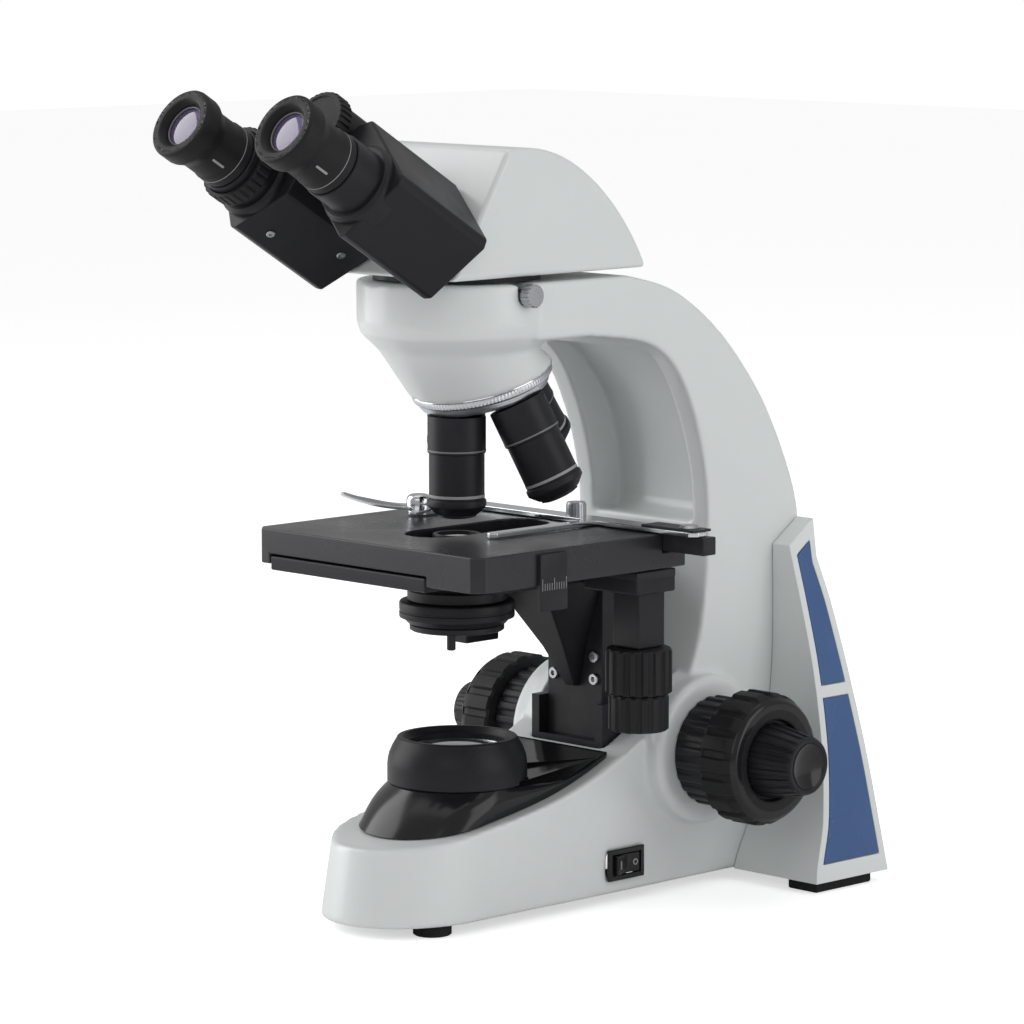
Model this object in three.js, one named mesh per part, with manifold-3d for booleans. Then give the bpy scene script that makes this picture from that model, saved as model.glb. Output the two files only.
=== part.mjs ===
// A binocular compound microscope, in millimetres, +Z up, the user sits at -Y and the arm stands at +Y.
// Every piece is drawn round the optical axis (x = 0, y = 0, table at z = 0), and the whole model is
// then moved so that its origin is at the middle of its footprint.
import * as THREE from "three";
import { mergeVertices } from "three/addons/utils/BufferGeometryUtils.js";
import Module from "manifold-3d";

const wasm = await Module();
wasm.setup();

// ---------------------------------------------------------------- driving dimensions
const GAP = 0.3; // between pieces that touch
const RUN = 0.5; // between pieces that move past each other
const ROUND = 24; // sides of a large round piece
const SMALL_ROUND = 12; // sides of a small round piece
const LENS_SIDES = 18; // sides of an objective or an eyepiece

// stand
const FOOT_HEIGHT = 5;
const BASE_HALF_WIDTH = 36.5;
const TOP_HALF_WIDTH = 43;
const STAND_TOP = 277;
const NOSE_CENTRE_Y = -26;
const STAND_REAR_Y = 180;
const BASE_WALL = 4;
const NOSE_HEIGHT = 38;

// focus drive
const FOCUS_Y = 111;
const FOCUS_Z = 64;
const BOSS_RADIUS = 33;
const BOSS_FACE_X = 47;
const COLLAR_RADIUS = 24.5;
const COLLAR_LENGTH = 18.5;
const COARSE_RADIUS = 29.4;
const COARSE_LENGTH = 19.5;
const FINE_RADIUS = 16.5;
const FINE_END_RADIUS = 12.5;
const FINE_LENGTH = 22.5;
const SLEEVE_RADIUS = 7;
const FINE_SHAFT_RADIUS = 4;
const PINION_RADIUS = 10.5;

// lamp
const COLLECTOR_RADIUS = 30.4;
const COLLECTOR_TOP = 78.5;
const COLLECTOR_SEAT = 58.5;
const LENS_RADIUS = 21;

// rear side panels
const PANEL_TOP = 151;
const PANEL_TOP_LIFT = 11;
const PANEL_REACH = 87;
const PANEL_LEAN = 0.25;
const PANEL_REAR_Y = 185;

// stage
const STAGE_TOP = 168;
const STAGE_HALF_WIDTH = 69.5;
const STAGE_FRONT_Y = -54.6;
const STAGE_DEPTH = 124.6;
const STAGE_THICKNESS = 15.2;
const LOWER_PLATE_TOP = 156.4;
const LOWER_PLATE_THICKNESS = 6.2;
const COLUMN_HALF_WIDTH = 17;
const COLUMN_FRONT_Y = 72.5;
const COLUMN_DEPTH = 27;
const GUIDE_HALF_WIDTH = 10;
const DRIVE_X = 56;
const DRIVE_Y = 55;
const DRIVE_KNOB_RADIUS = 14.6;

// condenser
const CONDENSER_RADIUS = 25;
const CONDENSER_TUBE_RADIUS = 17;
const CONDENSER_TOP = 166.8;
const CONDENSER_BOTTOM = 125;

// nosepiece and objectives
const SHOULDER_Z = 218;
const TURRET_TILT = THREE.MathUtils.degToRad(18);
const TURRET_PITCH = 18.5;
const TURRET_RADIUS = 31;
const TURRET_THICKNESS = 10;
const OBJECTIVE_RADIUS = 12;
const OBJECTIVE_LENGTHS = { "40x": 44.5, "100x": 45.2, "10x": 36, "4x": 29 };

// binocular head
const HEAD_BOTTOM = 280;
const HEAD_TOP = 334;
const HEAD_HALF_WIDTH = 43;
const HEAD_REAR_Y = 73;
const TUBE_TILT = THREE.MathUtils.degToRad(31);
const HINGE_Y = -24;
const HINGE_Z = 313;
const HINGE_RADIUS = 12.2;
const HOUSING_DROOP = THREE.MathUtils.degToRad(37.5);
const HOUSING_LENGTH = 57.6;
const HOUSING_REACH = 57;
const HOUSING_HALF_DEPTH = 18.5;
const EYE_ARM = 40;
const EYE_TUBE_RADIUS = 14.5;
const EYE_TUBE_END = 75;
const FLANGE_RADIUS = 17.8;
const EYE_RIM_RADIUS = 15.6;
const EYE_RIM_AT = 106;

// ---------------------------------------------------------------- materials
const paint = (color, roughness, metalness) =>
  new THREE.MeshStandardMaterial({ color, roughness, metalness });
const WHITE = paint(0xe4e8e7, 0.42, 0.05);
const BLACK = paint(0x1c1c20, 0.5, 0.1);
const RUBBER = paint(0x17171a, 0.75, 0);
const STAGE_BLACK = paint(0x2c2c32, 0.38, 0.2);
const CHROME = paint(0xd6d8da, 0.18, 1);
const STEEL = paint(0xa7a9ac, 0.32, 1);
const BRASS = paint(0xb08d4a, 0.35, 1);
const BLUE = paint(0x41628f, 0.35, 0);
const GLASS = paint(0x6d6a8c, 0.05, 0);
const GREY = paint(0x6a6c70, 0.45, 0.2);
const GREEN = paint(0x2f6b47, 0.6, 0);

// ---------------------------------------------------------------- solids
const model = new THREE.Group();

function add(name, geometry, material, parent = model) {
  const mesh = new THREE.Mesh(clean(geometry), material);
  mesh.name = name;
  parent.add(mesh);
  return mesh;
}

// A closed mesh as a solid: shared corners merged, slivers dropped, faces turned outwards.
function solid(geometry) {
  const bare = geometry.clone();
  bare.deleteAttribute("normal");
  bare.deleteAttribute("uv");
  const merged = mergeVertices(bare, 1e-4);
  const kept = [];
  const index = merged.index.array;
  for (let i = 0; i < index.length; i += 3) {
    const [a, b, c] = [index[i], index[i + 1], index[i + 2]];
    if (a !== b && b !== c && c !== a) kept.push(a, b, c);
  }
  const build = (triVerts) => new wasm.Manifold(new wasm.Mesh({
    numProp: 3,
    vertProperties: new Float32Array(merged.attributes.position.array),
    triVerts: new Uint32Array(triVerts),
  }));
  const made = build(kept);
  if (made.volume() > 0) return made;
  for (let i = 0; i < kept.length; i += 3) [kept[i + 1], kept[i + 2]] = [kept[i + 2], kept[i + 1]];
  return build(kept);
}

function meshOf(body) {
  const { vertProperties, triVerts, numProp } = body.getMesh();
  const geometry = new THREE.BufferGeometry();
  const position = new Float32Array((vertProperties.length / numProp) * 3);
  for (let i = 0; i < position.length / 3; i++) {
    for (let k = 0; k < 3; k++) position[3 * i + k] = vertProperties[numProp * i + k];
  }
  geometry.setAttribute("position", new THREE.BufferAttribute(position, 3));
  geometry.setIndex(new THREE.BufferAttribute(new Uint32Array(triVerts), 1));
  return geometry;
}

const clean = (geometry) => meshOf(solid(geometry));
const join = (first, ...rest) => meshOf(rest.reduce((all, next) => all.add(solid(next)), solid(first)));
const cut = (first, ...rest) => meshOf(rest.reduce((all, next) => all.subtract(solid(next)), solid(first)));
const common = (first, second) => meshOf(solid(first).intersect(solid(second)));

function box(x0, x1, y0, y1, z0, z1) {
  return new THREE.BoxGeometry(x1 - x0, y1 - y0, z1 - z0)
    .translate((x0 + x1) / 2, (y0 + y1) / 2, (z0 + z1) / 2);
}

// A profile of [radius, z] turned round the z axis.
function turned(profile, sides = ROUND) {
  const points = profile.map(([r, z]) => new THREE.Vector2(r, z));
  return new THREE.LatheGeometry(points, sides).rotateX(Math.PI / 2);
}

const rod = (radius, z0, z1, sides = ROUND) =>
  turned([[0, z0], [radius, z0], [radius, z1], [0, z1]], sides);
const tube = (outer, inner, z0, z1, sides = ROUND) =>
  turned([[inner, z0], [outer, z0], [outer, z1], [inner, z1], [inner, z0]], sides);
const alongX = (geometry) => geometry.rotateY(Math.PI / 2);

const outline = (points) => new THREE.Shape(points.map(([u, v]) => new THREE.Vector2(u, v)));

// An outline of (x, y) pushed up from z0 to z1.
function prismZ(shape, z0, z1, bevel = 0) {
  return extruded(shape, z0, z1, bevel);
}

// An outline of (y, z) pushed along x from x0 to x1.
function prismX(shape, x0, x1, bevel = 0) {
  const turn = new THREE.Matrix4().makeBasis(
    new THREE.Vector3(0, 1, 0), new THREE.Vector3(0, 0, 1), new THREE.Vector3(1, 0, 0));
  return extruded(shape, x0, x1, bevel).applyMatrix4(turn);
}

function extruded(shape, from, to, bevel) {
  const settings = { depth: to - from - 2 * bevel, bevelEnabled: bevel > 0, curveSegments: 8 };
  if (bevel > 0) {
    const edge = { bevelThickness: bevel, bevelSize: bevel, bevelOffset: -bevel, bevelSegments: 1 };
    Object.assign(settings, edge);
  }
  return new THREE.ExtrudeGeometry(shape, settings).translate(0, 0, from + bevel);
}

// A closed skin between rings of equally many points. Each ring is symmetric about the middle of its
// list, so its two ends are closed by rungs from point i to point n - 1 - i.
function skin(rings) {
  const n = rings[0].length;
  const position = rings.flat(2);
  const index = [];
  for (let k = 0; k + 1 < rings.length; k++) {
    for (let i = 0; i < n; i++) {
      const a = k * n + i;
      const b = k * n + (i + 1) % n;
      index.push(a, b, b + n, a, b + n, a + n);
    }
  }
  const rungs = (start, flip) => {
    for (let i = 0; i < n / 2 - 1; i++) {
      const quad = [start + i, start + i + 1, start + n - 2 - i, start + n - 1 - i];
      if (flip) quad.reverse();
      index.push(quad[0], quad[1], quad[2], quad[0], quad[2], quad[3]);
    }
  };
  rungs(0, true);
  rungs((rings.length - 1) * n, false);
  const geometry = new THREE.BufferGeometry();
  geometry.setAttribute("position", new THREE.Float32BufferAttribute(position, 3));
  geometry.setIndex(index);
  return geometry;
}

// A round bar with grooves along it, through levels of [radius, z].
function fluted(levels, grooves, depth) {
  const n = 4 * grooves;
  const position = [];
  for (const [radius, z] of levels) {
    for (let i = 0; i < grooves; i++) {
      for (const [share, drop] of [[0, 0], [0.5, 0], [0.6, depth], [0.9, depth]]) {
        const angle = (2 * Math.PI * (i + share)) / grooves;
        position.push((radius - drop) * Math.cos(angle), (radius - drop) * Math.sin(angle), z);
      }
    }
  }
  const index = [];
  for (let k = 0; k + 1 < levels.length; k++) {
    for (let i = 0; i < n; i++) {
      const a = k * n + i;
      const b = k * n + (i + 1) % n;
      index.push(a, b, b + n, a, b + n, a + n);
    }
  }
  const edge = [];
  for (let i = 0; i < n; i++) edge.push(new THREE.Vector2(position[3 * i], position[3 * i + 1]));
  const last = (levels.length - 1) * n;
  for (const [a, b, c] of THREE.ShapeUtils.triangulateShape(edge, [])) {
    index.push(a, c, b, last + a, last + b, last + c);
  }
  const geometry = new THREE.BufferGeometry();
  geometry.setAttribute("position", new THREE.Float32BufferAttribute(position, 3));
  geometry.setIndex(index);
  return geometry;
}

// Half width of the stand's drafted sides at height z.
const halfWidth = (z) =>
  BASE_HALF_WIDTH + ((TOP_HALF_WIDTH - BASE_HALF_WIDTH) * (z - FOOT_HEIGHT)) / (STAND_TOP - FOOT_HEIGHT);

// Leans the sides of a piece that was drawn TOP_HALF_WIDTH wide.
function drafted(geometry) {
  const p = geometry.attributes.position;
  for (let i = 0; i < p.count; i++) p.setX(i, (p.getX(i) * halfWidth(p.getZ(i))) / TOP_HALF_WIDTH);
  return geometry;
}

// ---------------------------------------------------------------- stand
// Height of the base's white rim at y: it climbs from the nose to the foot of the arm.
const rimCurve = new THREE.SplineCurve([
  new THREE.Vector2(NOSE_CENTRE_Y - BASE_HALF_WIDTH - 2, NOSE_HEIGHT),
  new THREE.Vector2(-19, NOSE_HEIGHT + 6),
  new THREE.Vector2(26, NOSE_HEIGHT + 14),
  new THREE.Vector2(60, NOSE_HEIGHT + 26),
  new THREE.Vector2(92, NOSE_HEIGHT + 42),
]);
const rimPoints = rimCurve.getPoints(8);

function rimHeight(y) {
  for (let i = 0; i + 1 < rimPoints.length; i++) {
    const [a, b] = [rimPoints[i], rimPoints[i + 1]];
    if (y <= b.x) return a.y + ((b.y - a.y) * (y - a.x)) / (b.x - a.x);
  }
  return rimPoints[rimPoints.length - 1].y;
}

// Plan of the base, round at the nose.
function basePlan(half, rearY) {
  const shape = new THREE.Shape();
  shape.moveTo(half, rearY);
  shape.lineTo(-half, rearY);
  shape.lineTo(-half, NOSE_CENTRE_Y);
  shape.absarc(0, NOSE_CENTRE_Y, half, Math.PI, 2 * Math.PI, false);
  shape.closePath();
  return shape;
}

// Draws the round nose in towards its top, so that it slopes as a moulding does.
const NOSE_DRAFT = { start: 24, back: 5.5, narrow: 0.09 };
function noseDrafted(geometry) {
  const p = geometry.attributes.position;
  const reach = NOSE_DRAFT.start - NOSE_CENTRE_Y + BASE_HALF_WIDTH;
  for (let i = 0; i < p.count; i++) {
    const along = THREE.MathUtils.clamp((NOSE_DRAFT.start - p.getY(i)) / reach, 0, 1) ** 1.5;
    const up = THREE.MathUtils.clamp((p.getZ(i) - FOOT_HEIGHT) / (NOSE_HEIGHT - FOOT_HEIGHT), 0, 1);
    p.setX(i, p.getX(i) * (1 - NOSE_DRAFT.narrow * along * up));
    p.setY(i, p.getY(i) + NOSE_DRAFT.back * along * up);
  }
  return geometry;
}

function baseBlock() {
  const side = new THREE.Shape();
  side.moveTo(rimPoints[0].x - 20, -20);
  side.lineTo(rimPoints[0].x - 20, rimPoints[0].y);
  rimPoints.forEach((p) => side.lineTo(p.x, p.y));
  side.lineTo(STAND_REAR_Y, rimPoints[rimPoints.length - 1].y);
  side.lineTo(STAND_REAR_Y, -20);
  const body = prismX(side, -TOP_HALF_WIDTH, TOP_HALF_WIDTH, 1.5);
  const half = TOP_HALF_WIDTH;
  const plan = prismZ(basePlan(half, STAND_REAR_Y), FOOT_HEIGHT, STAND_TOP);
  const shell = common(body, plan);
  return drafted(shell);
}

// Centre lines of the arm's back and of its front, from the foot to the top.
const armBack = new THREE.SplineCurve([
  [STAND_REAR_Y, FOOT_HEIGHT + 40], [STAND_REAR_Y - 2, 130], [175, 165], [164, 193], [147, 221],
  [120, 250], [91, 269], [62, STAND_TOP],
].map(([y, z]) => new THREE.Vector2(y, z)));
const armFront = new THREE.SplineCurve([
  [40, 252], [70, 248], [86, 241], [97, 229], [106, 211], [112, 192], [115, 172], [115, 140],
  [111, 110], [100, 88], [88, 76],
].map(([y, z]) => new THREE.Vector2(y, z)));

function armBlock() {
  const side = new THREE.Shape();
  side.moveTo(STAND_REAR_Y, FOOT_HEIGHT + 20);
  armBack.getPoints(12).forEach((p) => side.lineTo(p.x, p.y));
  side.lineTo(8, STAND_TOP);
  side.lineTo(8, 252);
  armFront.getPoints(14).forEach((p) => side.lineTo(p.x, p.y));
  side.lineTo(88, FOOT_HEIGHT + 20);
  return drafted(prismX(side, -TOP_HALF_WIDTH, TOP_HALF_WIDTH, 6.5));
}

const turretAxis = new THREE.Vector3(0, Math.sin(TURRET_TILT), -Math.cos(TURRET_TILT));
const turretAcross = new THREE.Vector3(0, Math.cos(TURRET_TILT), Math.sin(TURRET_TILT));
const turretCentre = new THREE.Vector3(0, 0, SHOULDER_Z).addScaledVector(turretAcross, TURRET_PITCH);

// A ring of points round the given centre, in the plane of ux and uy.
function ring(centre, ux, uy, radius, count = ROUND) {
  const points = [];
  for (let i = 0; i < count; i++) {
    const angle = (2 * Math.PI * (i + 0.5)) / count;
    points.push(centre.clone()
      .addScaledVector(ux, radius * Math.cos(angle))
      .addScaledVector(uy, radius * Math.sin(angle)).toArray());
  }
  return points;
}

// The round front of the head mount, tapering down to the tilted seat of the nosepiece.
function noseHousing() {
  const x = new THREE.Vector3(1, 0, 0);
  const y = new THREE.Vector3(0, 1, 0);
  const level = (z, radius, shift) => ring(new THREE.Vector3(0, shift, z), x, y, radius);
  const seat = turretCentre.clone().addScaledVector(turretAxis, -TURRET_THICKNESS - RUN);
  return skin([
    level(STAND_TOP, TOP_HALF_WIDTH - 1.5, 0),
    level(STAND_TOP - 1.5, TOP_HALF_WIDTH, 0),
    level(STAND_TOP - 18, TOP_HALF_WIDTH - 0.4, 0),
    level(STAND_TOP - 24, TOP_HALF_WIDTH - 3.5, 0),
    level(STAND_TOP - 29, TOP_HALF_WIDTH - 8, 1),
    ring(seat, x, turretAcross, TURRET_RADIUS + 0.8),
  ].reverse());
}

// The hollow in the front of the arm that the rear objectives swing over.
function objectiveHollow() {
  const side = new THREE.Shape();
  side.moveTo(60, 164);
  side.lineTo(126, 164);
  side.absarc(126, 170, 6, -Math.PI / 2, 0, false);
  side.bezierCurveTo(132, 200, 122, 226, 96, 243);
  side.lineTo(60, 243);
  side.closePath();
  return prismX(side, -30, 30, 3);
}

function focusBoss(side) {
  const profile = [
    [0, 0], [BOSS_RADIUS + 2, 0], [BOSS_RADIUS, 8], [BOSS_RADIUS, 15], [BOSS_RADIUS - 2.5, 17], [0, 17]];
  return alongX(turned(profile))
    .translate(BOSS_FACE_X - 17, FOCUS_Y, FOCUS_Z)
    .applyMatrix4(new THREE.Matrix4().makeScale(side, 1, 1));
}

const SWITCH = { y: 66, z: 18, width: 22, height: 14 };
const INLET = { z: 40, width: 28, height: 21, depth: 16 };
const GUIDE_TOP = 150;
const GUIDE_BOTTOM = FOCUS_Z + PINION_RADIUS + 2;
const GUIDE_FRONT_Y = COLUMN_FRONT_Y + 19.5;
const GUIDE_REAR_Y = FOCUS_Y + 7;
const BLOCK_BOTTOM = 60;
const BLOCK_TOP = 86;
const BLOCK_HALF_WIDTH = COLUMN_HALF_WIDTH + 5;
const BLOCK_FRONT_Y = COLUMN_FRONT_Y - 5;
const BLOCK_REAR_Y = COLUMN_FRONT_Y + COLUMN_DEPTH;
const RACK_HALF_WIDTH = 3.5;
const DIAL_RADIUS = 11;

// A box on the switch's middle, as wide and tall as the switch less a margin all round.
function switchBox(x0, x1, margin) {
  const { y, z, width, height } = SWITCH;
  const [across, up] = [width / 2 - margin, height / 2 - margin];
  return box(x0, x1, y - across, y + across, z - up, z + up);
}

function standCasting() {
  const seatX = halfWidth(SWITCH.z);
  const hollow = prismZ(basePlan(BASE_HALF_WIDTH - BASE_WALL, FOCUS_Y - 20), 0, NOSE_HEIGHT - 5);
  const rearHollow = box(-26, 26, 88, STAND_REAR_Y - 6, 0, NOSE_HEIGHT - 9);
  const lightWell = rod(LENS_RADIUS + 1, 20, 70);
  const blockPocket = box(-BLOCK_HALF_WIDTH - GAP, BLOCK_HALF_WIDTH + GAP,
    BLOCK_FRONT_Y - GAP, BLOCK_REAR_Y + GAP, BLOCK_BOTTOM - GAP, 120);
  const columnPocket = box(-COLUMN_HALF_WIDTH - RUN, COLUMN_HALF_WIDTH + RUN,
    COLUMN_FRONT_Y - RUN, BLOCK_REAR_Y + RUN, 42, 120);
  const guidePocket = box(-GUIDE_HALF_WIDTH - GAP, GUIDE_HALF_WIDTH + GAP,
    BLOCK_REAR_Y - 2, GUIDE_REAR_Y + GAP, FOCUS_Z - PINION_RADIUS - 2, GUIDE_TOP + 2);
  const rackSlot = box(-RACK_HALF_WIDTH - RUN, RACK_HALF_WIDTH + RUN, GUIDE_FRONT_Y - 1, FOCUS_Y - 9, 20, 60);
  const shaftBore = alongX(join(rod(SLEEVE_RADIUS + RUN, -60, 60),
    rod(PINION_RADIUS + 1, -RACK_HALF_WIDTH - RUN, RACK_HALF_WIDTH + RUN))).translate(0, FOCUS_Y, FOCUS_Z);
  const switchHole = switchBox(seatX - 9, seatX + 9, 1);
  const dialHole = alongX(rod(3.5, -50, -20, SMALL_ROUND)).translate(0, SWITCH.y, SWITCH.z + 2);
  const inletHole = box(-INLET.width / 2, INLET.width / 2, STAND_REAR_Y - INLET.depth, STAND_REAR_Y + 5,
    INLET.z - INLET.height / 2, INLET.z + INLET.height / 2);
  const inletDuct = box(-8, 8, STAND_REAR_Y - 40, STAND_REAR_Y - INLET.depth + 1, 20, INLET.z);
  const screwHole = alongX(rod(3, 30, 50, SMALL_ROUND)).translate(0, 0, STAND_TOP - 5);
  const mountHole = rod(24, STAND_TOP - 22, STAND_TOP + 5);
  const lightPath = rod(9, SHOULDER_Z, STAND_TOP);
  const shell = noseDrafted(cut(baseBlock(), hollow));
  const hollowBehindNose = common(hollow, box(-50, 50, NOSE_DRAFT.start, FOCUS_Y, -1, NOSE_HEIGHT));
  return cut(join(shell, armBlock(), noseHousing(), focusBoss(1), focusBoss(-1)),
    hollowBehindNose, rearHollow, lightWell, objectiveHollow(), blockPocket, columnPocket, guidePocket, rackSlot,
    shaftBore, switchHole, dialHole, inletHole, inletDuct, screwHole, mountHole, lightPath);
}

add("stand_casting", standCasting(), WHITE);

// ---------------------------------------------------------------- base plate and feet
const PLATE_THICKNESS = 1.5;
const PLATE_INSET = BASE_WALL + GAP;
add("base_plate", prismZ(basePlan(BASE_HALF_WIDTH - PLATE_INSET, FOCUS_Y - 20 - GAP),
  FOOT_HEIGHT, FOOT_HEIGHT + PLATE_THICKNESS), GREY);

const FRONT_FOOT = { x: 23, y: NOSE_CENTRE_Y - 11, radius: 8.5 };
const REAR_FOOT = { x: PANEL_REACH - 12, y: PANEL_REAR_Y - 26, halfX: 8.7, halfY: 18.5 };

for (const [side, name] of [[1, "right"], [-1, "left"]]) {
  const footTop = FOOT_HEIGHT - GAP;
  const foot = turned([
    [0, 0], [FRONT_FOOT.radius, 0], [FRONT_FOOT.radius - 1, footTop], [0, footTop]], SMALL_ROUND);
  add(`foot_front_${name}`, foot.translate(side * FRONT_FOOT.x, FRONT_FOOT.y, 0), RUBBER);
  const pad = prismZ(outline([
    [-REAR_FOOT.halfX, -REAR_FOOT.halfY], [REAR_FOOT.halfX, -REAR_FOOT.halfY],
    [REAR_FOOT.halfX, REAR_FOOT.halfY], [-REAR_FOOT.halfX, REAR_FOOT.halfY]]), 0, footTop, 1);
  add(`foot_rear_${name}`, pad.translate(side * REAR_FOOT.x, REAR_FOOT.y, 0), RUBBER);
}

// ---------------------------------------------------------------- rear side panels with blue inlays
// Each level of a panel: its height, and how far its front and rear edges are from PANEL_REAR_Y. The front
// edge flares forward at the foot.
const panelLevels = [[FOOT_HEIGHT, 48, 0], [30, 37, 0], [60, 29.5, 0.5], [95, 26, 3], [125, 26.2, 6.5],
  [PANEL_TOP, 27.4, 11.5]].map(([z, front, rear]) => ({
  z,
  front: PANEL_REAR_Y - front,
  rear: PANEL_REAR_Y - rear,
  reach: PANEL_REACH - PANEL_LEAN * (z - FOOT_HEIGHT),
}));

function rearPanel(side) {
  const rings = panelLevels.map(({ z, front, rear, reach }) => {
    const lift = z === PANEL_TOP ? PANEL_TOP_LIFT : 0;
    const inner = (zz) => halfWidth(zz) + GAP;
    return [
      [side * inner(z), front, z], [side * inner(z + lift), rear, z + lift],
      [side * reach, rear, z + lift], [side * reach, front, z]];
  });
  return skin(rings);
}

// Two thin blue plates let into the outer face of a panel.
const INLAY_THICKNESS = 1.2;
const INLAY_MARGIN = 4.2;
// A point on a panel's outer face: at height z, a margin in from its front or rear edge, and out from it.
function panelPoint(side, z, margin, atRear, out) {
  const upper = panelLevels.findIndex((level) => level.z >= z);
  const [a, b] = [panelLevels[upper - 1], panelLevels[upper]];
  const mix = (key) => a[key] + ((b[key] - a[key]) * (z - a.z)) / (b.z - a.z);
  const y = atRear ? mix("rear") - margin : mix("front") + margin;
  return [side * (mix("reach") + out), y, z];
}

function inlay(side, low, high, lift, growth) {
  const from = -INLAY_THICKNESS + GAP - growth;
  const to = GAP / 2 + growth;
  const between = panelLevels.map(({ z }) => z).filter((z) => z > low + 2 && z < high - 2);
  const rungs = [low - growth, ...between, high + growth].map((z) => {
    const ring = [[false, from], [true, from], [true, to], [false, to]].map(([atRear, out]) =>
      panelPoint(side, z, INLAY_MARGIN - growth, atRear, out));
    const raise = z === high + growth ? lift : 0;
    ring[1][2] += raise;
    ring[2][2] += raise;
    return ring;
  });
  return skin(rungs);
}

const INLAY_SPANS = { lower: [13, 83, 0], upper: [89, 146, 6] };
for (const [side, name] of [[1, "right"], [-1, "left"]]) {
  const pockets = Object.values(INLAY_SPANS).map((span) => inlay(side, ...span, GAP));
  add(`rear_panel_${name}`, cut(rearPanel(side), ...pockets), WHITE);
  for (const [level, span] of Object.entries(INLAY_SPANS)) {
    add(`inlay_${level}_${name}`, inlay(side, ...span, 0), BLUE);
  }
}

// ---------------------------------------------------------------- lamp house
const COVER_HALF_WIDTH = 31;
const COVER_NOSE_Y = -16;
const COVER_REAR_Y = BLOCK_FRONT_Y - 2;
function lampCover() {
  const low = [];
  const high = [];
  const level = (y) => Math.max(COLLECTOR_SEAT, rimHeight(y) + 3);
  const put = (x, y, xTop, yTop) => {
    low.push([x, y, rimHeight(y) + GAP]);
    high.push([xTop, yTop, Math.max(level(yTop), rimHeight(y) + GAP + 1)]);
  };
  const half = COVER_HALF_WIDTH;
  const top = COLLECTOR_RADIUS - 0.5;
  const runs = [COVER_REAR_Y, 52, 38, 24, 10, -6];
  runs.forEach((y) => put(-half, y, -top, Math.max(y, 0)));
  const arc = 14;
  for (let i = 0; i < arc; i++) {
    const angle = Math.PI + (Math.PI * (i + 0.5)) / arc;
    const [c, s] = [Math.cos(angle), Math.sin(angle)];
    put(half * c, COVER_NOSE_Y + half * s, top * c, top * s);
  }
  [...runs].reverse().forEach((y) => put(half, y, top, Math.max(y, 0)));
  return cut(skin([low, high]), rod(LENS_RADIUS + 1, 20, 90));
}

add("lamp_cover", lampCover(), BLACK);
const ringFoot = COLLECTOR_SEAT + GAP;
add("collector_ring", turned([
  [LENS_RADIUS + RUN, ringFoot], [COLLECTOR_RADIUS, ringFoot], [COLLECTOR_RADIUS, COLLECTOR_TOP - 11],
  [COLLECTOR_RADIUS - 1.2, COLLECTOR_TOP - 6], [COLLECTOR_RADIUS - 4.2, COLLECTOR_TOP - 0.6],
  [COLLECTOR_RADIUS - 5, COLLECTOR_TOP], [LENS_RADIUS + 2.5, COLLECTOR_TOP],
  [LENS_RADIUS + RUN, COLLECTOR_TOP - 3], [LENS_RADIUS + RUN, ringFoot]]), BLACK);
add("field_lens", turned([
  [0, COLLECTOR_TOP - 12], [LENS_RADIUS, COLLECTOR_TOP - 12], [LENS_RADIUS, COLLECTOR_TOP - 8],
  [LENS_RADIUS * 0.75, COLLECTOR_TOP - 5], [LENS_RADIUS * 0.4, COLLECTOR_TOP - 3.4],
  [0, COLLECTOR_TOP - 3]]), GLASS);
const LAMP_SEAT = FOOT_HEIGHT + PLATE_THICKNESS + GAP;
const HEATSINK = { radius: 15, height: 12, fins: 12 };
// A finned heatsink with the lamp's dome on it.
function ledLamp() {
  const dome = turned([[0, 11], [7, 11], [7, 15], [4, 18], [0, 19]], SMALL_ROUND);
  const { radius, height, fins } = HEATSINK;
  return join(fluted([[radius, 0], [radius, height]], fins, 3), dome).translate(0, 0, LAMP_SEAT);
}
add("led_lamp", ledLamp(), STEEL);

// A circuit board on four pillars, with a transformer and a capacitor block on it.
const BOARD = { halfX: 22, halfY: 15, y: 43, lift: 5, thickness: 1.6 };
function driverBoard() {
  const { halfX, halfY, y, lift, thickness } = BOARD;
  const boardTop = lift + thickness;
  const pillars = [[-1, -1], [1, -1], [-1, 1], [1, 1]].map(([a, b]) =>
    rod(2.5, 0, lift + 0.5, 10).translate(a * (halfX - 4), b * (halfY - 4), 0));
  return join(box(-halfX, halfX, -halfY, halfY, lift, boardTop), ...pillars,
    box(-12, 0, -7, 7, boardTop - 1, boardTop + 10), box(5, 17, -9, 3, boardTop - 1, boardTop + 6))
    .translate(0, y, LAMP_SEAT);
}
add("driver_board", driverBoard(), GREEN);

// ---------------------------------------------------------------- switch, dimmer and inlet
const switchX = halfWidth(SWITCH.z + SWITCH.height / 2) + GAP;
const BEZEL_WALL = 2.2;
function switchBezel() {
  const flange = switchBox(switchX, switchX + 1.6, 0);
  const sleeve = switchBox(switchX - 6, switchX + 1, 1 + GAP);
  return cut(join(flange, sleeve), switchBox(switchX - 9, switchX + 5, BEZEL_WALL));
}
add("switch_bezel", switchBezel(), BLACK);

// The rocker leans about a vertical pin, so one half stands proud.
const ROCKER_LEAN = THREE.MathUtils.degToRad(8);
function rocker() {
  const half = SWITCH.width / 2 - BEZEL_WALL - 0.8;
  const tall = SWITCH.height / 2 - BEZEL_WALL - RUN;
  const plan = outline([
    [-4.5, -half * 0.8], [0, -half], [2.6, -half + 0.2], [1, 0],
    [2.6, half - 0.2], [0, half], [-4.5, half * 0.8]]);
  return prismZ(plan, -tall, tall).rotateZ(ROCKER_LEAN).translate(switchX, SWITCH.y, SWITCH.z);
}
add("switch_rocker", rocker(), BLACK);

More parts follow.
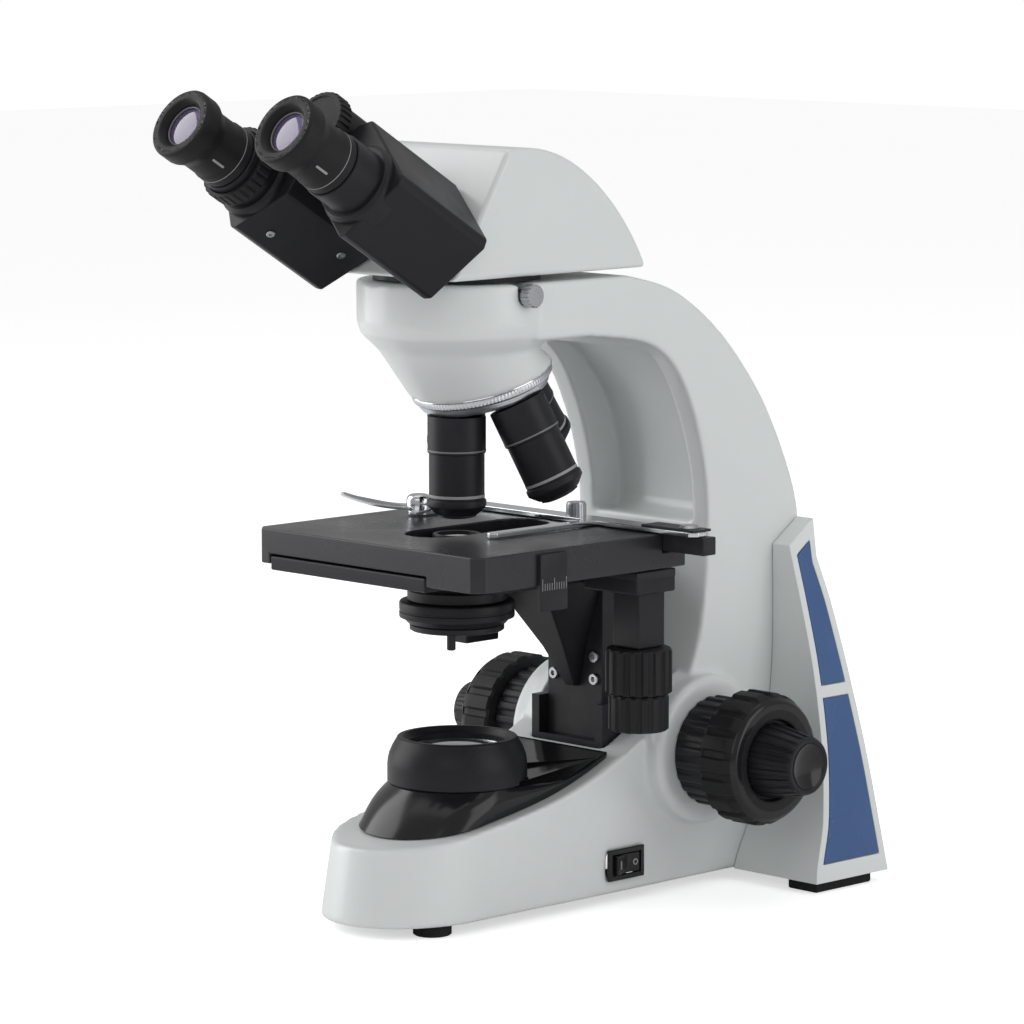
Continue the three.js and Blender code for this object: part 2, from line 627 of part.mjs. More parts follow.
const dimmerX = -(halfWidth(SWITCH.z + DIAL_RADIUS) + RUN);
const dimmer = join(
  fluted([[DIAL_RADIUS, 0], [DIAL_RADIUS - 0.8, 8]], 14, 0.8), rod(2.8, -14, 1, SMALL_ROUND));
add("brightness_dial", alongX(dimmer).applyMatrix4(new THREE.Matrix4().makeRotationZ(Math.PI))
  .translate(dimmerX, SWITCH.y, SWITCH.z + 2), BLACK);

// A flanged box let into the back, with a hollow round three flat prongs.
function powerInlet() {
  const half = INLET.width / 2 - GAP;
  const tall = INLET.height / 2 - GAP;
  const body = box(-half, half, -14, 1, -tall, tall);
  const flange = box(-half - 3, half + 3, 0, 2, -tall - 2, tall + 2);
  const prongs = [-6, 0, 6].map((x) => box(x - 1, x + 1, -12, -1, -2, 2));
  return cut(join(body, flange), cut(box(-11, 11, -11, 3, -7, 7), ...prongs))
    .translate(0, STAND_REAR_Y + GAP, INLET.z);
}
add("power_inlet", powerInlet(), BLACK);

// ---------------------------------------------------------------- focus drive
const collarStart = BOSS_FACE_X + GAP;
const coarseStart = collarStart + COLLAR_LENGTH + GAP;
const coarseEnd = coarseStart + COARSE_LENGTH;
const fineStart = coarseEnd - 3;

// Puts a piece that is drawn up the z axis on the focus axis, outwards on one side.
function onFocusAxis(geometry, side, from) {
  alongX(geometry);
  if (side < 0) geometry.rotateZ(Math.PI);
  return geometry.translate(side * from, FOCUS_Y, FOCUS_Z);
}

for (const [side, name, collar] of [[1, "right", "tension_collar"], [-1, "left", "stop_collar"]]) {
  add(collar, onFocusAxis(cut(fluted([[COLLAR_RADIUS, 0], [COLLAR_RADIUS, COLLAR_LENGTH]], 16, 1),
    rod(SLEEVE_RADIUS + RUN, -5, COLLAR_LENGTH + 5)), side, collarStart), BLACK);
  const dish = turned([[0, COARSE_LENGTH - 3 - RUN], [FINE_RADIUS + RUN, COARSE_LENGTH - 3 - RUN],
    [FINE_RADIUS + 1, COARSE_LENGTH + 2], [0, COARSE_LENGTH + 2]]);
  const coarse = fluted([
    [COARSE_RADIUS, 0], [COARSE_RADIUS, COARSE_LENGTH - 5], [COARSE_RADIUS - 4.2, COARSE_LENGTH]], 18, 1.4);
  const bores = [rod(SLEEVE_RADIUS + GAP, -5, 8), rod(FINE_SHAFT_RADIUS + RUN, -5, 30, SMALL_ROUND)];
  add(`coarse_knob_${name}`, onFocusAxis(cut(coarse, dish, ...bores), side, coarseStart), RUBBER);
  const fine = fluted([
    [FINE_RADIUS, 0], [FINE_RADIUS, 2], [FINE_END_RADIUS + 0.6, FINE_LENGTH - 2],
    [FINE_END_RADIUS, FINE_LENGTH]], 14, 0.9);
  const dimple = turned([
    [0, FINE_LENGTH - 2.6], [FINE_END_RADIUS - 5, FINE_LENGTH - 1.8],
    [FINE_END_RADIUS - 2.4, FINE_LENGTH + 1],
    [0, FINE_LENGTH + 1]]);
  const fineBore = rod(FINE_SHAFT_RADIUS + GAP, -5, 12, SMALL_ROUND);
  add(`fine_knob_${name}`, onFocusAxis(cut(fine, dimple, fineBore), side, fineStart), BLACK);
}

const sleeveEnd = coarseStart + 7;
const toothed = fluted([[PINION_RADIUS, 0], [PINION_RADIUS, 2 * RACK_HALF_WIDTH]], 16, 1.8)
  .translate(0, 0, -RACK_HALF_WIDTH);
add("focus_pinion", alongX(cut(join(rod(SLEEVE_RADIUS, -sleeveEnd, sleeveEnd), toothed),
  rod(FINE_SHAFT_RADIUS + RUN, -sleeveEnd - 1, sleeveEnd + 1))).translate(0, FOCUS_Y, FOCUS_Z), STEEL);
const fineShaftEnd = fineStart + 11;
add("fine_shaft", alongX(rod(FINE_SHAFT_RADIUS, -fineShaftEnd, fineShaftEnd, SMALL_ROUND))
  .translate(0, FOCUS_Y, FOCUS_Z), STEEL);

// The fixed half of the focus slide: two cheeks beside the foot of the column, joined by a low wall in
// front that the stage's web comes down over, and a rail behind it.
const FRONT_WALL_TOP = 69.2;
function focusBlock() {
  const slot = COLUMN_HALF_WIDTH + RUN;
  return cut(
    box(-BLOCK_HALF_WIDTH, BLOCK_HALF_WIDTH, BLOCK_FRONT_Y, BLOCK_REAR_Y, BLOCK_BOTTOM, BLOCK_TOP),
    box(-slot, slot, COLUMN_FRONT_Y - RUN, BLOCK_REAR_Y + 1, BLOCK_BOTTOM - 1, BLOCK_TOP + 1),
    box(-slot, slot, BLOCK_FRONT_Y - 1, COLUMN_FRONT_Y, FRONT_WALL_TOP, BLOCK_TOP + 1));
}
add("focus_block", focusBlock(), BLACK);

function focusGuide() {
  const slot = RACK_HALF_WIDTH + RUN;
  return cut(
    box(-GUIDE_HALF_WIDTH, GUIDE_HALF_WIDTH, GUIDE_FRONT_Y, GUIDE_REAR_Y, GUIDE_BOTTOM, GUIDE_TOP),
    box(-slot, slot, GUIDE_FRONT_Y - 1, GUIDE_FRONT_Y + 10, GUIDE_BOTTOM - 1, GUIDE_TOP + 1));
}
add("focus_guide", focusGuide(), STEEL);

// ---------------------------------------------------------------- stage
const LOWER_LEFT_X = -59.5;
const LOWER_RIGHT_X = 37.5;
const lowerPlateBottom = LOWER_PLATE_TOP - LOWER_PLATE_THICKNESS;
const BRACKET_THICKNESS = 6;
const bracketTop = lowerPlateBottom;
const bracketBottom = bracketTop - BRACKET_THICKNESS;
const COLUMN_BOTTOM = 66;
const WEB_BOTTOM = 92;
const stageRear = STAGE_FRONT_Y + STAGE_DEPTH;

function stageCarrier() {
  const columnRear = COLUMN_FRONT_Y + COLUMN_DEPTH;
  const groove = GUIDE_HALF_WIDTH + RUN;
  const column = cut(
    box(-COLUMN_HALF_WIDTH, COLUMN_HALF_WIDTH, COLUMN_FRONT_Y, columnRear, COLUMN_BOTTOM, bracketTop),
    box(-groove, groove, GUIDE_FRONT_Y - RUN, columnRear + 1, COLUMN_BOTTOM - 1, bracketTop + 1));
  const bracket = box(-34, 34, -8, columnRear - 8, bracketBottom, bracketTop);
  const webLevel = (half, front, z) => [
    [-half, front, z], [-half, COLUMN_FRONT_Y + 1, z], [half, COLUMN_FRONT_Y + 1, z], [half, front, z]];
  const web = skin([
    webLevel(COLUMN_HALF_WIDTH, 34, bracketBottom + 1), webLevel(3, COLUMN_FRONT_Y - 3, WEB_BOTTOM)]);
  const condenserRail = box(-33, -25, 30, 50, bracketBottom - 32, bracketBottom + 1);
  const plate = box(LOWER_LEFT_X, LOWER_RIGHT_X, STAGE_FRONT_Y, 66, lowerPlateBottom, LOWER_PLATE_TOP);
  const condenserHole = rod(CONDENSER_RADIUS + 1.5, 100, LOWER_PLATE_TOP + 1);
  return cut(join(column, bracket, web, condenserRail, plate), condenserHole);
}
add("stage_carrier", stageCarrier(), BLACK);

const RACK_TEETH = 12;
const rackRear = FOCUS_Y - PINION_RADIUS - GAP;
const RACK_BOTTOM = 54;
const RACK_PITCH = 3.1;
function focusRack() {
  const half = RACK_HALF_WIDTH;
  const bar = box(-half, half, GUIDE_FRONT_Y - RUN + GAP, rackRear - 2, RACK_BOTTOM, RACK_BOTTOM + 40);
  const teeth = Array.from({ length: RACK_TEETH }, (_, i) => {
    const z = RACK_BOTTOM + 1.5 + i * RACK_PITCH;
    return box(-half, half, rackRear - 2.5, rackRear, z, z + RACK_PITCH / 2);
  });
  return join(bar, ...teeth);
}
add("focus_rack", focusRack(), BRASS);

const SLOT_HALF_WIDTH = 13;
const CARRIAGE = { y0: 56, y1: 64, z0: 160.4 };
function stageTopPlate() {
  const corner = 4.3;
  const half = STAGE_HALF_WIDTH;
  const plan = outline([
    [-half + corner, STAGE_FRONT_Y], [half - corner, STAGE_FRONT_Y], [half, STAGE_FRONT_Y + corner],
    [half, stageRear], [-half, stageRear], [-half, STAGE_FRONT_Y + corner]]);
  const plate = prismZ(plan, STAGE_TOP - STAGE_THICKNESS, STAGE_TOP);
  const channel = box(LOWER_LEFT_X - RUN, LOWER_RIGHT_X + RUN, STAGE_FRONT_Y - 5, stageRear + 5,
    STAGE_TOP - STAGE_THICKNESS - 5, LOWER_PLATE_TOP + 0.8);
  const slot = new THREE.Shape();
  slot.absarc(0, -13, SLOT_HALF_WIDTH, Math.PI, 2 * Math.PI, false);
  slot.absarc(0, 38, SLOT_HALF_WIDTH, 0, Math.PI, false);
  const groove = box(
    -half - 5, half + 5, CARRIAGE.y0 - RUN, CARRIAGE.y1 + RUN, CARRIAGE.z0 - RUN, STAGE_TOP + 5);
  const scaleTab = box(half - 1, half + 2, -20, -4, STAGE_TOP - 26, STAGE_TOP - 1.5);
  return join(cut(plate, channel, prismZ(slot, 100, 200), groove), scaleTab);
}
add("stage_top_plate", stageTopPlate(), STAGE_BLACK);

// ---------------------------------------------------------------- slide holder
const CARRIAGE_LEFT_X = -42;
const CARRIAGE_RIGHT_X = 93;
add("slide_carriage",
  box(CARRIAGE_LEFT_X, CARRIAGE_RIGHT_X, CARRIAGE.y0, CARRIAGE.y1, CARRIAGE.z0, STAGE_TOP + 0.2), BLACK);

const HOLDER_BOTTOM = STAGE_TOP + 0.5;
const HOLDER_THICKNESS = 2.2;
const FINGER_X = 30;
const PIVOT = { x: -47, y: 22 };
function slideHolder() {
  const [z0, z1] = [HOLDER_BOTTOM, HOLDER_BOTTOM + HOLDER_THICKNESS];
  const bar = box(PIVOT.x - 5, CARRIAGE_RIGHT_X - 2, CARRIAGE.y0 - 4, CARRIAGE.y1 - 1, z0, z1);
  const finger = box(FINGER_X - 3, FINGER_X + 3, -10, CARRIAGE.y0, z0, z1);
  const arm = box(PIVOT.x - 5, PIVOT.x + 5, PIVOT.y, CARRIAGE.y0, z0, z1);
  const eye = rod(5, z0, z1, SMALL_ROUND).translate(PIVOT.x, PIVOT.y, 0);
  const screws = [[15, 6], [CARRIAGE_RIGHT_X - 10, 1.2]].map(([x, height]) =>
    rod(4.5, z1 - 1, z1 + height, SMALL_ROUND).translate(x, CARRIAGE.y0 + 2, 0));
  return join(bar, finger, arm, eye, ...screws);
}
add("slide_holder", slideHolder(), CHROME);

function springFinger() {
  const z0 = HOLDER_BOTTOM + HOLDER_THICKNESS + GAP;
  const sweep = new THREE.Shape();
  sweep.moveTo(-34, -13);
  sweep.quadraticCurveTo(-16, -9, -5, 3);
  sweep.lineTo(5, 4);
  sweep.quadraticCurveTo(13, -4, 17, -18);
  sweep.lineTo(14, -19);
  sweep.quadraticCurveTo(8, -9, 0, -6);
  sweep.quadraticCurveTo(-12, -14, -34, -16);
  const lever = prismZ(sweep, z0, z0 + 1.6);
  const cap = turned([[0, z0], [5.5, z0], [5.5, z0 + 5], [4, z0 + 6.5], [0, z0 + 6.5]], SMALL_ROUND);
  return join(lever, cap).translate(PIVOT.x, PIVOT.y, 0);
}
add("spring_finger", springFinger(), CHROME);

// ---------------------------------------------------------------- coaxial stage drive
const driveTop = STAGE_TOP - STAGE_THICKNESS - 0.8;
const DRIVE_HOUSING_HEIGHT = 10;
const Y_KNOB = { top: 117.5, length: 20 };
const X_KNOB = { radius: 13.2, length: 16 };
const NECK_HALF = 8;
function driveHousing() {
  const [x1, y0, y1] = [STAGE_HALF_WIDTH - 2, DRIVE_Y - 13, DRIVE_Y + 11];
  const shelf = box(LOWER_RIGHT_X - 2.5, x1, y0, y1, driveTop - DRIVE_HOUSING_HEIGHT, driveTop - 2.5);
  const raised = box(LOWER_RIGHT_X + 1, x1, y0, y1, driveTop - 4, driveTop);
  const neck = box(DRIVE_X - NECK_HALF, DRIVE_X + NECK_HALF, DRIVE_Y - NECK_HALF, DRIVE_Y + NECK_HALF,
    Y_KNOB.top + GAP, driveTop - 2);
  return join(shelf, raised, neck);
}
add("stage_drive_housing", driveHousing(), BLACK);

// The upper knob moves the table and the lower one, whose spindle runs up through it, the slide.
const yKnobFoot = Y_KNOB.top - Y_KNOB.length;
function yKnob() {
  const grip = fluted([[DRIVE_KNOB_RADIUS, 0], [DRIVE_KNOB_RADIUS, Y_KNOB.length]], 16, 1);
  return cut(grip, rod(3.5, -5, 40, SMALL_ROUND)).translate(DRIVE_X, DRIVE_Y, yKnobFoot);
}
function xKnob() {
  const grip = fluted([[X_KNOB.radius, 0], [X_KNOB.radius, X_KNOB.length]], 16, 0.8)
    .translate(0, 0, -X_KNOB.length - GAP);
  const spindle = rod(3, -2, Y_KNOB.length - 3, SMALL_ROUND);
  return join(grip, spindle).translate(DRIVE_X, DRIVE_Y, yKnobFoot);
}
add("stage_y_knob", yKnob(), RUBBER);
add("stage_x_knob", xKnob(), RUBBER);

// ---------------------------------------------------------------- condenser
const tubeTop = CONDENSER_TOP - 7;
const ringTop = CONDENSER_BOTTOM + 13;
const HOLDER_HEIGHT = 4.5;
// A ring round the condenser's neck, on an arm that slides along the rail under the stage.
function condenserHolder() {
  const [z0, z1] = [ringTop + GAP, ringTop + GAP + HOLDER_HEIGHT];
  const collar = tube(CONDENSER_TUBE_RADIUS + 4.5, CONDENSER_TUBE_RADIUS + GAP, z0, z1);
  const arm = cut(box(-24.5, -17, 2, 46, z0, z1), rod(CONDENSER_TUBE_RADIUS + 3, 100, 200));
  const slider = box(-24.4, -18, 34, 46, ringTop - 14, ringTop + 2);
  return join(collar, arm, slider);
}
add("condenser_holder", condenserHolder(), BLACK);
const CONDENSER_BORE = 9;
const condenserFoot = CONDENSER_BOTTOM + 3;
add("condenser_body", turned([
  [CONDENSER_BORE, condenserFoot], [CONDENSER_RADIUS - 4, condenserFoot],
  [CONDENSER_RADIUS - 2, condenserFoot + 2.3], [CONDENSER_RADIUS, condenserFoot + 3],
  [CONDENSER_RADIUS, ringTop - 1], [CONDENSER_RADIUS - 1, ringTop],
  [CONDENSER_TUBE_RADIUS, ringTop], [CONDENSER_TUBE_RADIUS, tubeTop - 9],
  [12, tubeTop - 4], [10.5, CONDENSER_TOP], [8.4, CONDENSER_TOP], [8.4, CONDENSER_TOP - 5],
  [CONDENSER_BORE, CONDENSER_TOP - 6], [CONDENSER_BORE, condenserFoot]]), BLACK);
const irisTop = condenserFoot - GAP;
add("iris_ring", join(
  tube(CONDENSER_RADIUS - 4.5, 10, CONDENSER_BOTTOM, irisTop),
  rod(1.9, CONDENSER_BOTTOM - 6.5, CONDENSER_BOTTOM + 1, 12).translate(10.5, -13.5, 0)), BLACK);
const condenserKnobZ = bracketBottom - 12;
add("condenser_knob", alongX(join(fluted([[9.5, 0], [9.5, 9]], 12, 0.8), rod(3, -4, 1, SMALL_ROUND)))
  .rotateZ(Math.PI).translate(-33 - 4.5, 40, condenserKnobZ), RUBBER);

// ---------------------------------------------------------------- nosepiece
const nosepiece = new THREE.Group();
nosepiece.position.copy(turretCentre);
nosepiece.rotation.x = TURRET_TILT;
model.add(nosepiece);
// Its underside is a shallow cone, so that each objective seats square to its own axis.
const seatHeight = (radius) => Math.tan(TURRET_TILT) * (radius - TURRET_PITCH);
const turretEdge = TURRET_RADIUS - 2.2;
function turretDisc() {
  const disc = turned([
    [0, seatHeight(0)], [turretEdge - 0.6, seatHeight(turretEdge - 0.6)],
    [turretEdge, seatHeight(turretEdge) + 0.8], [turretEdge + 0.6, TURRET_THICKNESS - 3.2],
    [TURRET_RADIUS, TURRET_THICKNESS - 2.6], [TURRET_RADIUS, TURRET_THICKNESS - 0.6],
    [TURRET_RADIUS - 0.6, TURRET_THICKNESS], [0, TURRET_THICKNESS]]);
  const holes = Object.keys(OBJECTIVE_LENGTHS).map((_, i) => {
    const angle = (i * Math.PI) / 2;
    return rod(8, -20, TURRET_THICKNESS + 5, SMALL_ROUND)
      .translate(TURRET_PITCH * Math.cos(angle), TURRET_PITCH * Math.sin(angle), 0);
  });
  return cut(disc, ...holes);
}
add("nosepiece_turret", turretDisc(), CHROME, nosepiece);

// An objective hangs from its shoulder at z = 0; each has a clear bore.
function objective(length) {
  const r = OBJECTIVE_RADIUS;
  const bore = 3;
  return turned([
    [bore, -GAP], [r + 0.6, -GAP], [r + 0.6, -length * 0.36], [r, -length * 0.37], [r, -length + 8.5],
    [r + 0.8, -length + 8], [r + 0.8, -length + 5.4], [r - 3.6, -length + 1.6], [5, -length],
    [bore, -length], [bore, -GAP]], LENS_SIDES);
}

// Objectives in their places round the turret, the first one over the stage.
Object.entries(OBJECTIVE_LENGTHS).forEach(([power, length], place) => {
  const seat = new THREE.Group();
  seat.rotation.z = -Math.PI / 2 + (place * Math.PI) / 2;
  const lean = new THREE.Group();
  lean.position.set(TURRET_PITCH, 0, 0);
  lean.rotation.y = -TURRET_TILT;
  nosepiece.add(seat);
  seat.add(lean);
  add(`objective_${power}`, objective(length), BLACK, lean);
});

// ---------------------------------------------------------------- head
add("head_mount", tube(36, 20, STAND_TOP + GAP, HEAD_BOTTOM - GAP), BLACK);
const screwX = TOP_HALF_WIDTH + 0.5;
add("head_lock_screw", alongX(join(fluted([[5, 0], [5, 5]], 10, 0.5), rod(2.6, -11, 1, 12)))
  .translate(screwX, 0, STAND_TOP - 5), STEEL);

const tubeUp = new THREE.Vector2(Math.sin(TUBE_TILT), Math.cos(TUBE_TILT));
const frontAt = (z) => HINGE_Y + ((z - HINGE_Z) * tubeUp.x) / tubeUp.y;
function headHousing() {
  const side = new THREE.Shape();
  side.moveTo(frontAt(HEAD_BOTTOM) + 1, HEAD_BOTTOM);
  side.lineTo(HEAD_REAR_Y, HEAD_BOTTOM);
  side.bezierCurveTo(HEAD_REAR_Y - 10, HEAD_BOTTOM + 22, 36, HEAD_TOP - 2, 4, HEAD_TOP);
  side.lineTo(frontAt(HEAD_TOP) + 1, HEAD_TOP);
  side.closePath();
  const shell = prismX(side, -HEAD_HALF_WIDTH, HEAD_HALF_WIDTH, 5);
  return cut(shell, rod(19, HEAD_BOTTOM - 5, HEAD_BOTTOM + 25));
}
add("head_housing", headHousing(), WHITE);

const binocular = new THREE.Group();
binocular.position.set(0, HINGE_Y, HINGE_Z);
binocular.rotation.x = Math.PI / 2 - TUBE_TILT;
model.add(binocular);

const DIAL_START = HOUSING_LENGTH + 1;
add("interpupillary_dial", join(rod(HINGE_RADIUS, 0, DIAL_START + 1),
  fluted([[14.2, 0], [13.6, 7.5]], 16, 1).translate(0, 0, DIAL_START)), RUBBER, binocular);

// A prism housing in section hangs out and down from the hinge; u runs along the droop, w across it.
const housingFrame = (side) => (u, w) => [
  side * (u * Math.cos(HOUSING_DROOP) + w * Math.sin(HOUSING_DROOP)),
  -u * Math.sin(HOUSING_DROOP) + w * Math.cos(HOUSING_DROOP)];

function prismHousing(side) {
  const at = housingFrame(side);
  const w = HOUSING_HALF_DEPTH;
  const section = outline([
    at(HINGE_RADIUS - 2, -4), at(26, -w), at(HOUSING_REACH - 3, -w), at(HOUSING_REACH, -w + 3),
    at(HOUSING_REACH, w - 3), at(HOUSING_REACH - 3, w), at(14, w), at(HINGE_RADIUS - 2, w - 6)]);
  const shell = prismZ(section, RUN, HOUSING_LENGTH - 0.5, 1);
  const [x, y] = at(EYE_ARM, 0);
  const eyeTube = turned([
    [0, HOUSING_LENGTH - 2], [FLANGE_RADIUS, HOUSING_LENGTH - 2], [FLANGE_RADIUS, HOUSING_LENGTH + 1.6],
    [FLANGE_RADIUS - 1.4, HOUSING_LENGTH + 3], [EYE_TUBE_RADIUS, HOUSING_LENGTH + 3],
    [EYE_TUBE_RADIUS, EYE_TUBE_END], [0, EYE_TUBE_END]]).translate(x, y, 0);
  const eyeBore = rod(EYE_TUBE_RADIUS - 2.5, 20, 100, SMALL_ROUND).translate(x, y, 0);
  return cut(join(shell, eyeTube), rod(HINGE_RADIUS + RUN, -10, 100), eyeBore);
}

const EYE_LENS_RADIUS = 9;
const EYEPIECE_BORE = 11;
const eyepieceFoot = EYE_TUBE_END + GAP;
const eyepieceProfile = [
  [EYEPIECE_BORE, eyepieceFoot], [EYE_TUBE_RADIUS - 0.8, eyepieceFoot],
  [EYE_TUBE_RADIUS - 0.8, eyepieceFoot + 7], [13.2, eyepieceFoot + 8], [13.2, EYE_RIM_AT - 14],
  [14.4, EYE_RIM_AT - 11], [EYE_RIM_RADIUS, EYE_RIM_AT - 8], [EYE_RIM_RADIUS, EYE_RIM_AT - 1],
  [EYE_RIM_RADIUS - 1, EYE_RIM_AT], [10.5, EYE_RIM_AT], [EYE_LENS_RADIUS, EYE_RIM_AT - 3],
  [EYE_LENS_RADIUS, EYE_RIM_AT - 8], [EYEPIECE_BORE, EYE_RIM_AT - 10], [EYEPIECE_BORE, eyepieceFoot]];
const eyeLensProfile = [
  [0, EYE_RIM_AT - 7], [EYE_LENS_RADIUS - GAP, EYE_RIM_AT - 7], [EYE_LENS_RADIUS - GAP, EYE_RIM_AT - 4.5],
  [5, EYE_RIM_AT - 3.4], [0, EYE_RIM_AT - 3]];

for (const [side, name] of [[1, "right"], [-1, "left"]]) {
  const [x, y] = housingFrame(side)(EYE_ARM, 0);
  add(`prism_housing_${name}`, prismHousing(side), BLACK, binocular);
  add(`eyepiece_${name}`, turned(eyepieceProfile, LENS_SIDES).translate(x, y, 0), BLACK, binocular);
  add(`eye_lens_${name}`, turned(eyeLensProfile, SMALL_ROUND).translate(x, y, 0), GLASS, binocular);
}
const [dioptreX, dioptreY] = housingFrame(-1)(EYE_ARM, 0);
add("dioptre_ring", cut(fluted([[17, 0], [17, 7]], 16, 0.5), rod(EYE_TUBE_RADIUS + RUN, -5, 20))
  .translate(dioptreX, dioptreY, 65), BLACK, binocular);

// ---------------------------------------------------------------- origin
model.updateMatrixWorld(true);
const bounds = new THREE.Box3().setFromObject(model, true);
model.position.set(0, -(bounds.min.y + bounds.max.y) / 2, -bounds.min.z);

export default model;
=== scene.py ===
# %% [markdown]
# A binocular microscope, dressed for a studio picture.
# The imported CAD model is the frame: it says where each part is and which parts move together.
# Here every visible part gets its finished shape and its surface. All lengths in the drawings below
# are millimetres measured from the optical axis and the table top; one helper turns them into
# Blender's metres.

# %% Load the frame
import math
import bmesh
import bpy
from mathutils import Matrix, Vector


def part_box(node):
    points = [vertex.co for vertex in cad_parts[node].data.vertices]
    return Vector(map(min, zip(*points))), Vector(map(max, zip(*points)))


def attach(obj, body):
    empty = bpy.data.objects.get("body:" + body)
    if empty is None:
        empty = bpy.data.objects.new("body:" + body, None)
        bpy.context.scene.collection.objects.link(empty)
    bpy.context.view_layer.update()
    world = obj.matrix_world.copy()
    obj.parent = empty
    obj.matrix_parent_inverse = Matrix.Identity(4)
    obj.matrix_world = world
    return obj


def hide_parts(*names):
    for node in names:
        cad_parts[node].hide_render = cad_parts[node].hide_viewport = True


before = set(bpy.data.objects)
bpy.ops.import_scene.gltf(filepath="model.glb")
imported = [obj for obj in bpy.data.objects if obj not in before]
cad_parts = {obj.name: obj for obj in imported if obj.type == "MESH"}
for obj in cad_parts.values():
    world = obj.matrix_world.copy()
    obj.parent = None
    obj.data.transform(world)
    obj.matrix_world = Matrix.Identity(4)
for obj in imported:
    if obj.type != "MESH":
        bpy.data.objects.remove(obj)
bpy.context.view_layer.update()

# %% [markdown]
# The lamp's lens, the condenser, the working objective and the head all stand on one vertical line.
# The lens of the lamp is round, so the middle of its box is that line.

# %% Find the optical axis
MM = 0.001
lens_low, lens_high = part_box("field_lens")
AXIS_Y = (lens_low.y + lens_high.y) / 2


def to_metres(p):
    return Vector((p[0] * MM, AXIS_Y + p[1] * MM, p[2] * MM))


print("optical axis at y =", round(AXIS_Y, 5), "m")

# %% [markdown]
# Each surface is a node material. What several finishes share is made once as a node group: a fine
# grain with slow patches, the wear that shows where an edge sticks out, and the rings that a lathe
# leaves. A group gives only values; the shader stays in the material.

# %% Group: grain and patches
def new_group(name, inputs, outputs):
    group = bpy.data.node_groups.new(name, "ShaderNodeTree")
    for label, value in inputs:
        socket = group.interface.new_socket(label, in_out="INPUT", socket_type="NodeSocketFloat")
        socket.default_value = value
    for label in outputs:
        group.interface.new_socket(label, in_out="OUTPUT", socket_type="NodeSocketFloat")
    nodes = group.nodes
    return group, nodes, nodes.new("NodeGroupInput"), nodes.new("NodeGroupOutput")


def join_nodes(tree, *pairs):
    for start, end in pairs:
        tree.links.new(start, end)


grain, nodes, g_in, g_out = new_group("grain_and_patches", [("Grain", 900.0), ("Patch", 30.0)],
    ["Fine", "Slow"])
place = nodes.new("ShaderNodeTexCoord")
fine = nodes.new("ShaderNodeTexNoise")
fine.inputs["Detail"].default_value = 3.0
fine.inputs["Roughness"].default_value = 0.6
slow = nodes.new("ShaderNodeTexNoise")
slow.inputs["Detail"].default_value = 4.0
join_nodes(grain,
           (place.outputs["Object"], fine.inputs["Vector"]),
               (place.outputs["Object"], slow.inputs["Vector"]),
           (g_in.outputs["Grain"], fine.inputs["Scale"]), (g_in.outputs["Patch"], slow.inputs["Scale"]),
           (fine.outputs["Fac"], g_out.inputs["Fine"]), (slow.outputs["Fac"], g_out.inputs["Slow"]))
print("made", grain.name)

# %% Group: edge wear
wear, nodes, g_in, g_out = new_group("edge_wear", [("Patch", 120.0)], ["Mask"])
shape = nodes.new("ShaderNodeNewGeometry")
edge = nodes.new("ShaderNodeMapRange")
edge.inputs["From Min"].default_value = 0.53
edge.inputs["From Max"].default_value = 0.62
place = nodes.new("ShaderNodeTexCoord")
spots = nodes.new("ShaderNodeTexNoise")
spots.inputs["Detail"].default_value = 5.0
both = nodes.new("ShaderNodeMath")
both.operation = "MULTIPLY"
join_nodes(wear,
           (shape.outputs["Pointiness"], edge.inputs["Value"]),
               (place.outputs["Object"], spots.inputs["Vector"]),
           (g_in.outputs["Patch"], spots.inputs["Scale"]), (edge.outputs["Result"], both.inputs[0]),
           (spots.outputs["Fac"], both.inputs[1]), (both.outputs["Value"], g_out.inputs["Mask"]))
print("made", wear.name)

# %% Group: lathe rings
rings, nodes, g_in, g_out = new_group("lathe_rings", [("Count", 2500.0)], ["Height"])
place = nodes.new("ShaderNodeTexCoord")
turns = nodes.new("ShaderNodeVectorMath")
turns.operation = "LENGTH"
lines = nodes.new("ShaderNodeTexNoise")
lines.noise_dimensions = "1D"
lines.inputs["Detail"].default_value = 2.0
join_nodes(rings,
           (place.outputs["Object"], turns.inputs[0]), (turns.outputs["Value"], lines.inputs["W"]),
           (g_in.outputs["Count"], lines.inputs["Scale"]), (lines.outputs["Fac"], g_out.inputs["Height"]))
print("made", rings.name)


# %% [markdown]
# One function makes every solid finish from these groups. The two colours are mixed by the slow
# patches, the roughness moves between two values, the grain raises the surface by a few hundredths of
# a millimetre, and the wear mask lightens the edges that hands rub.

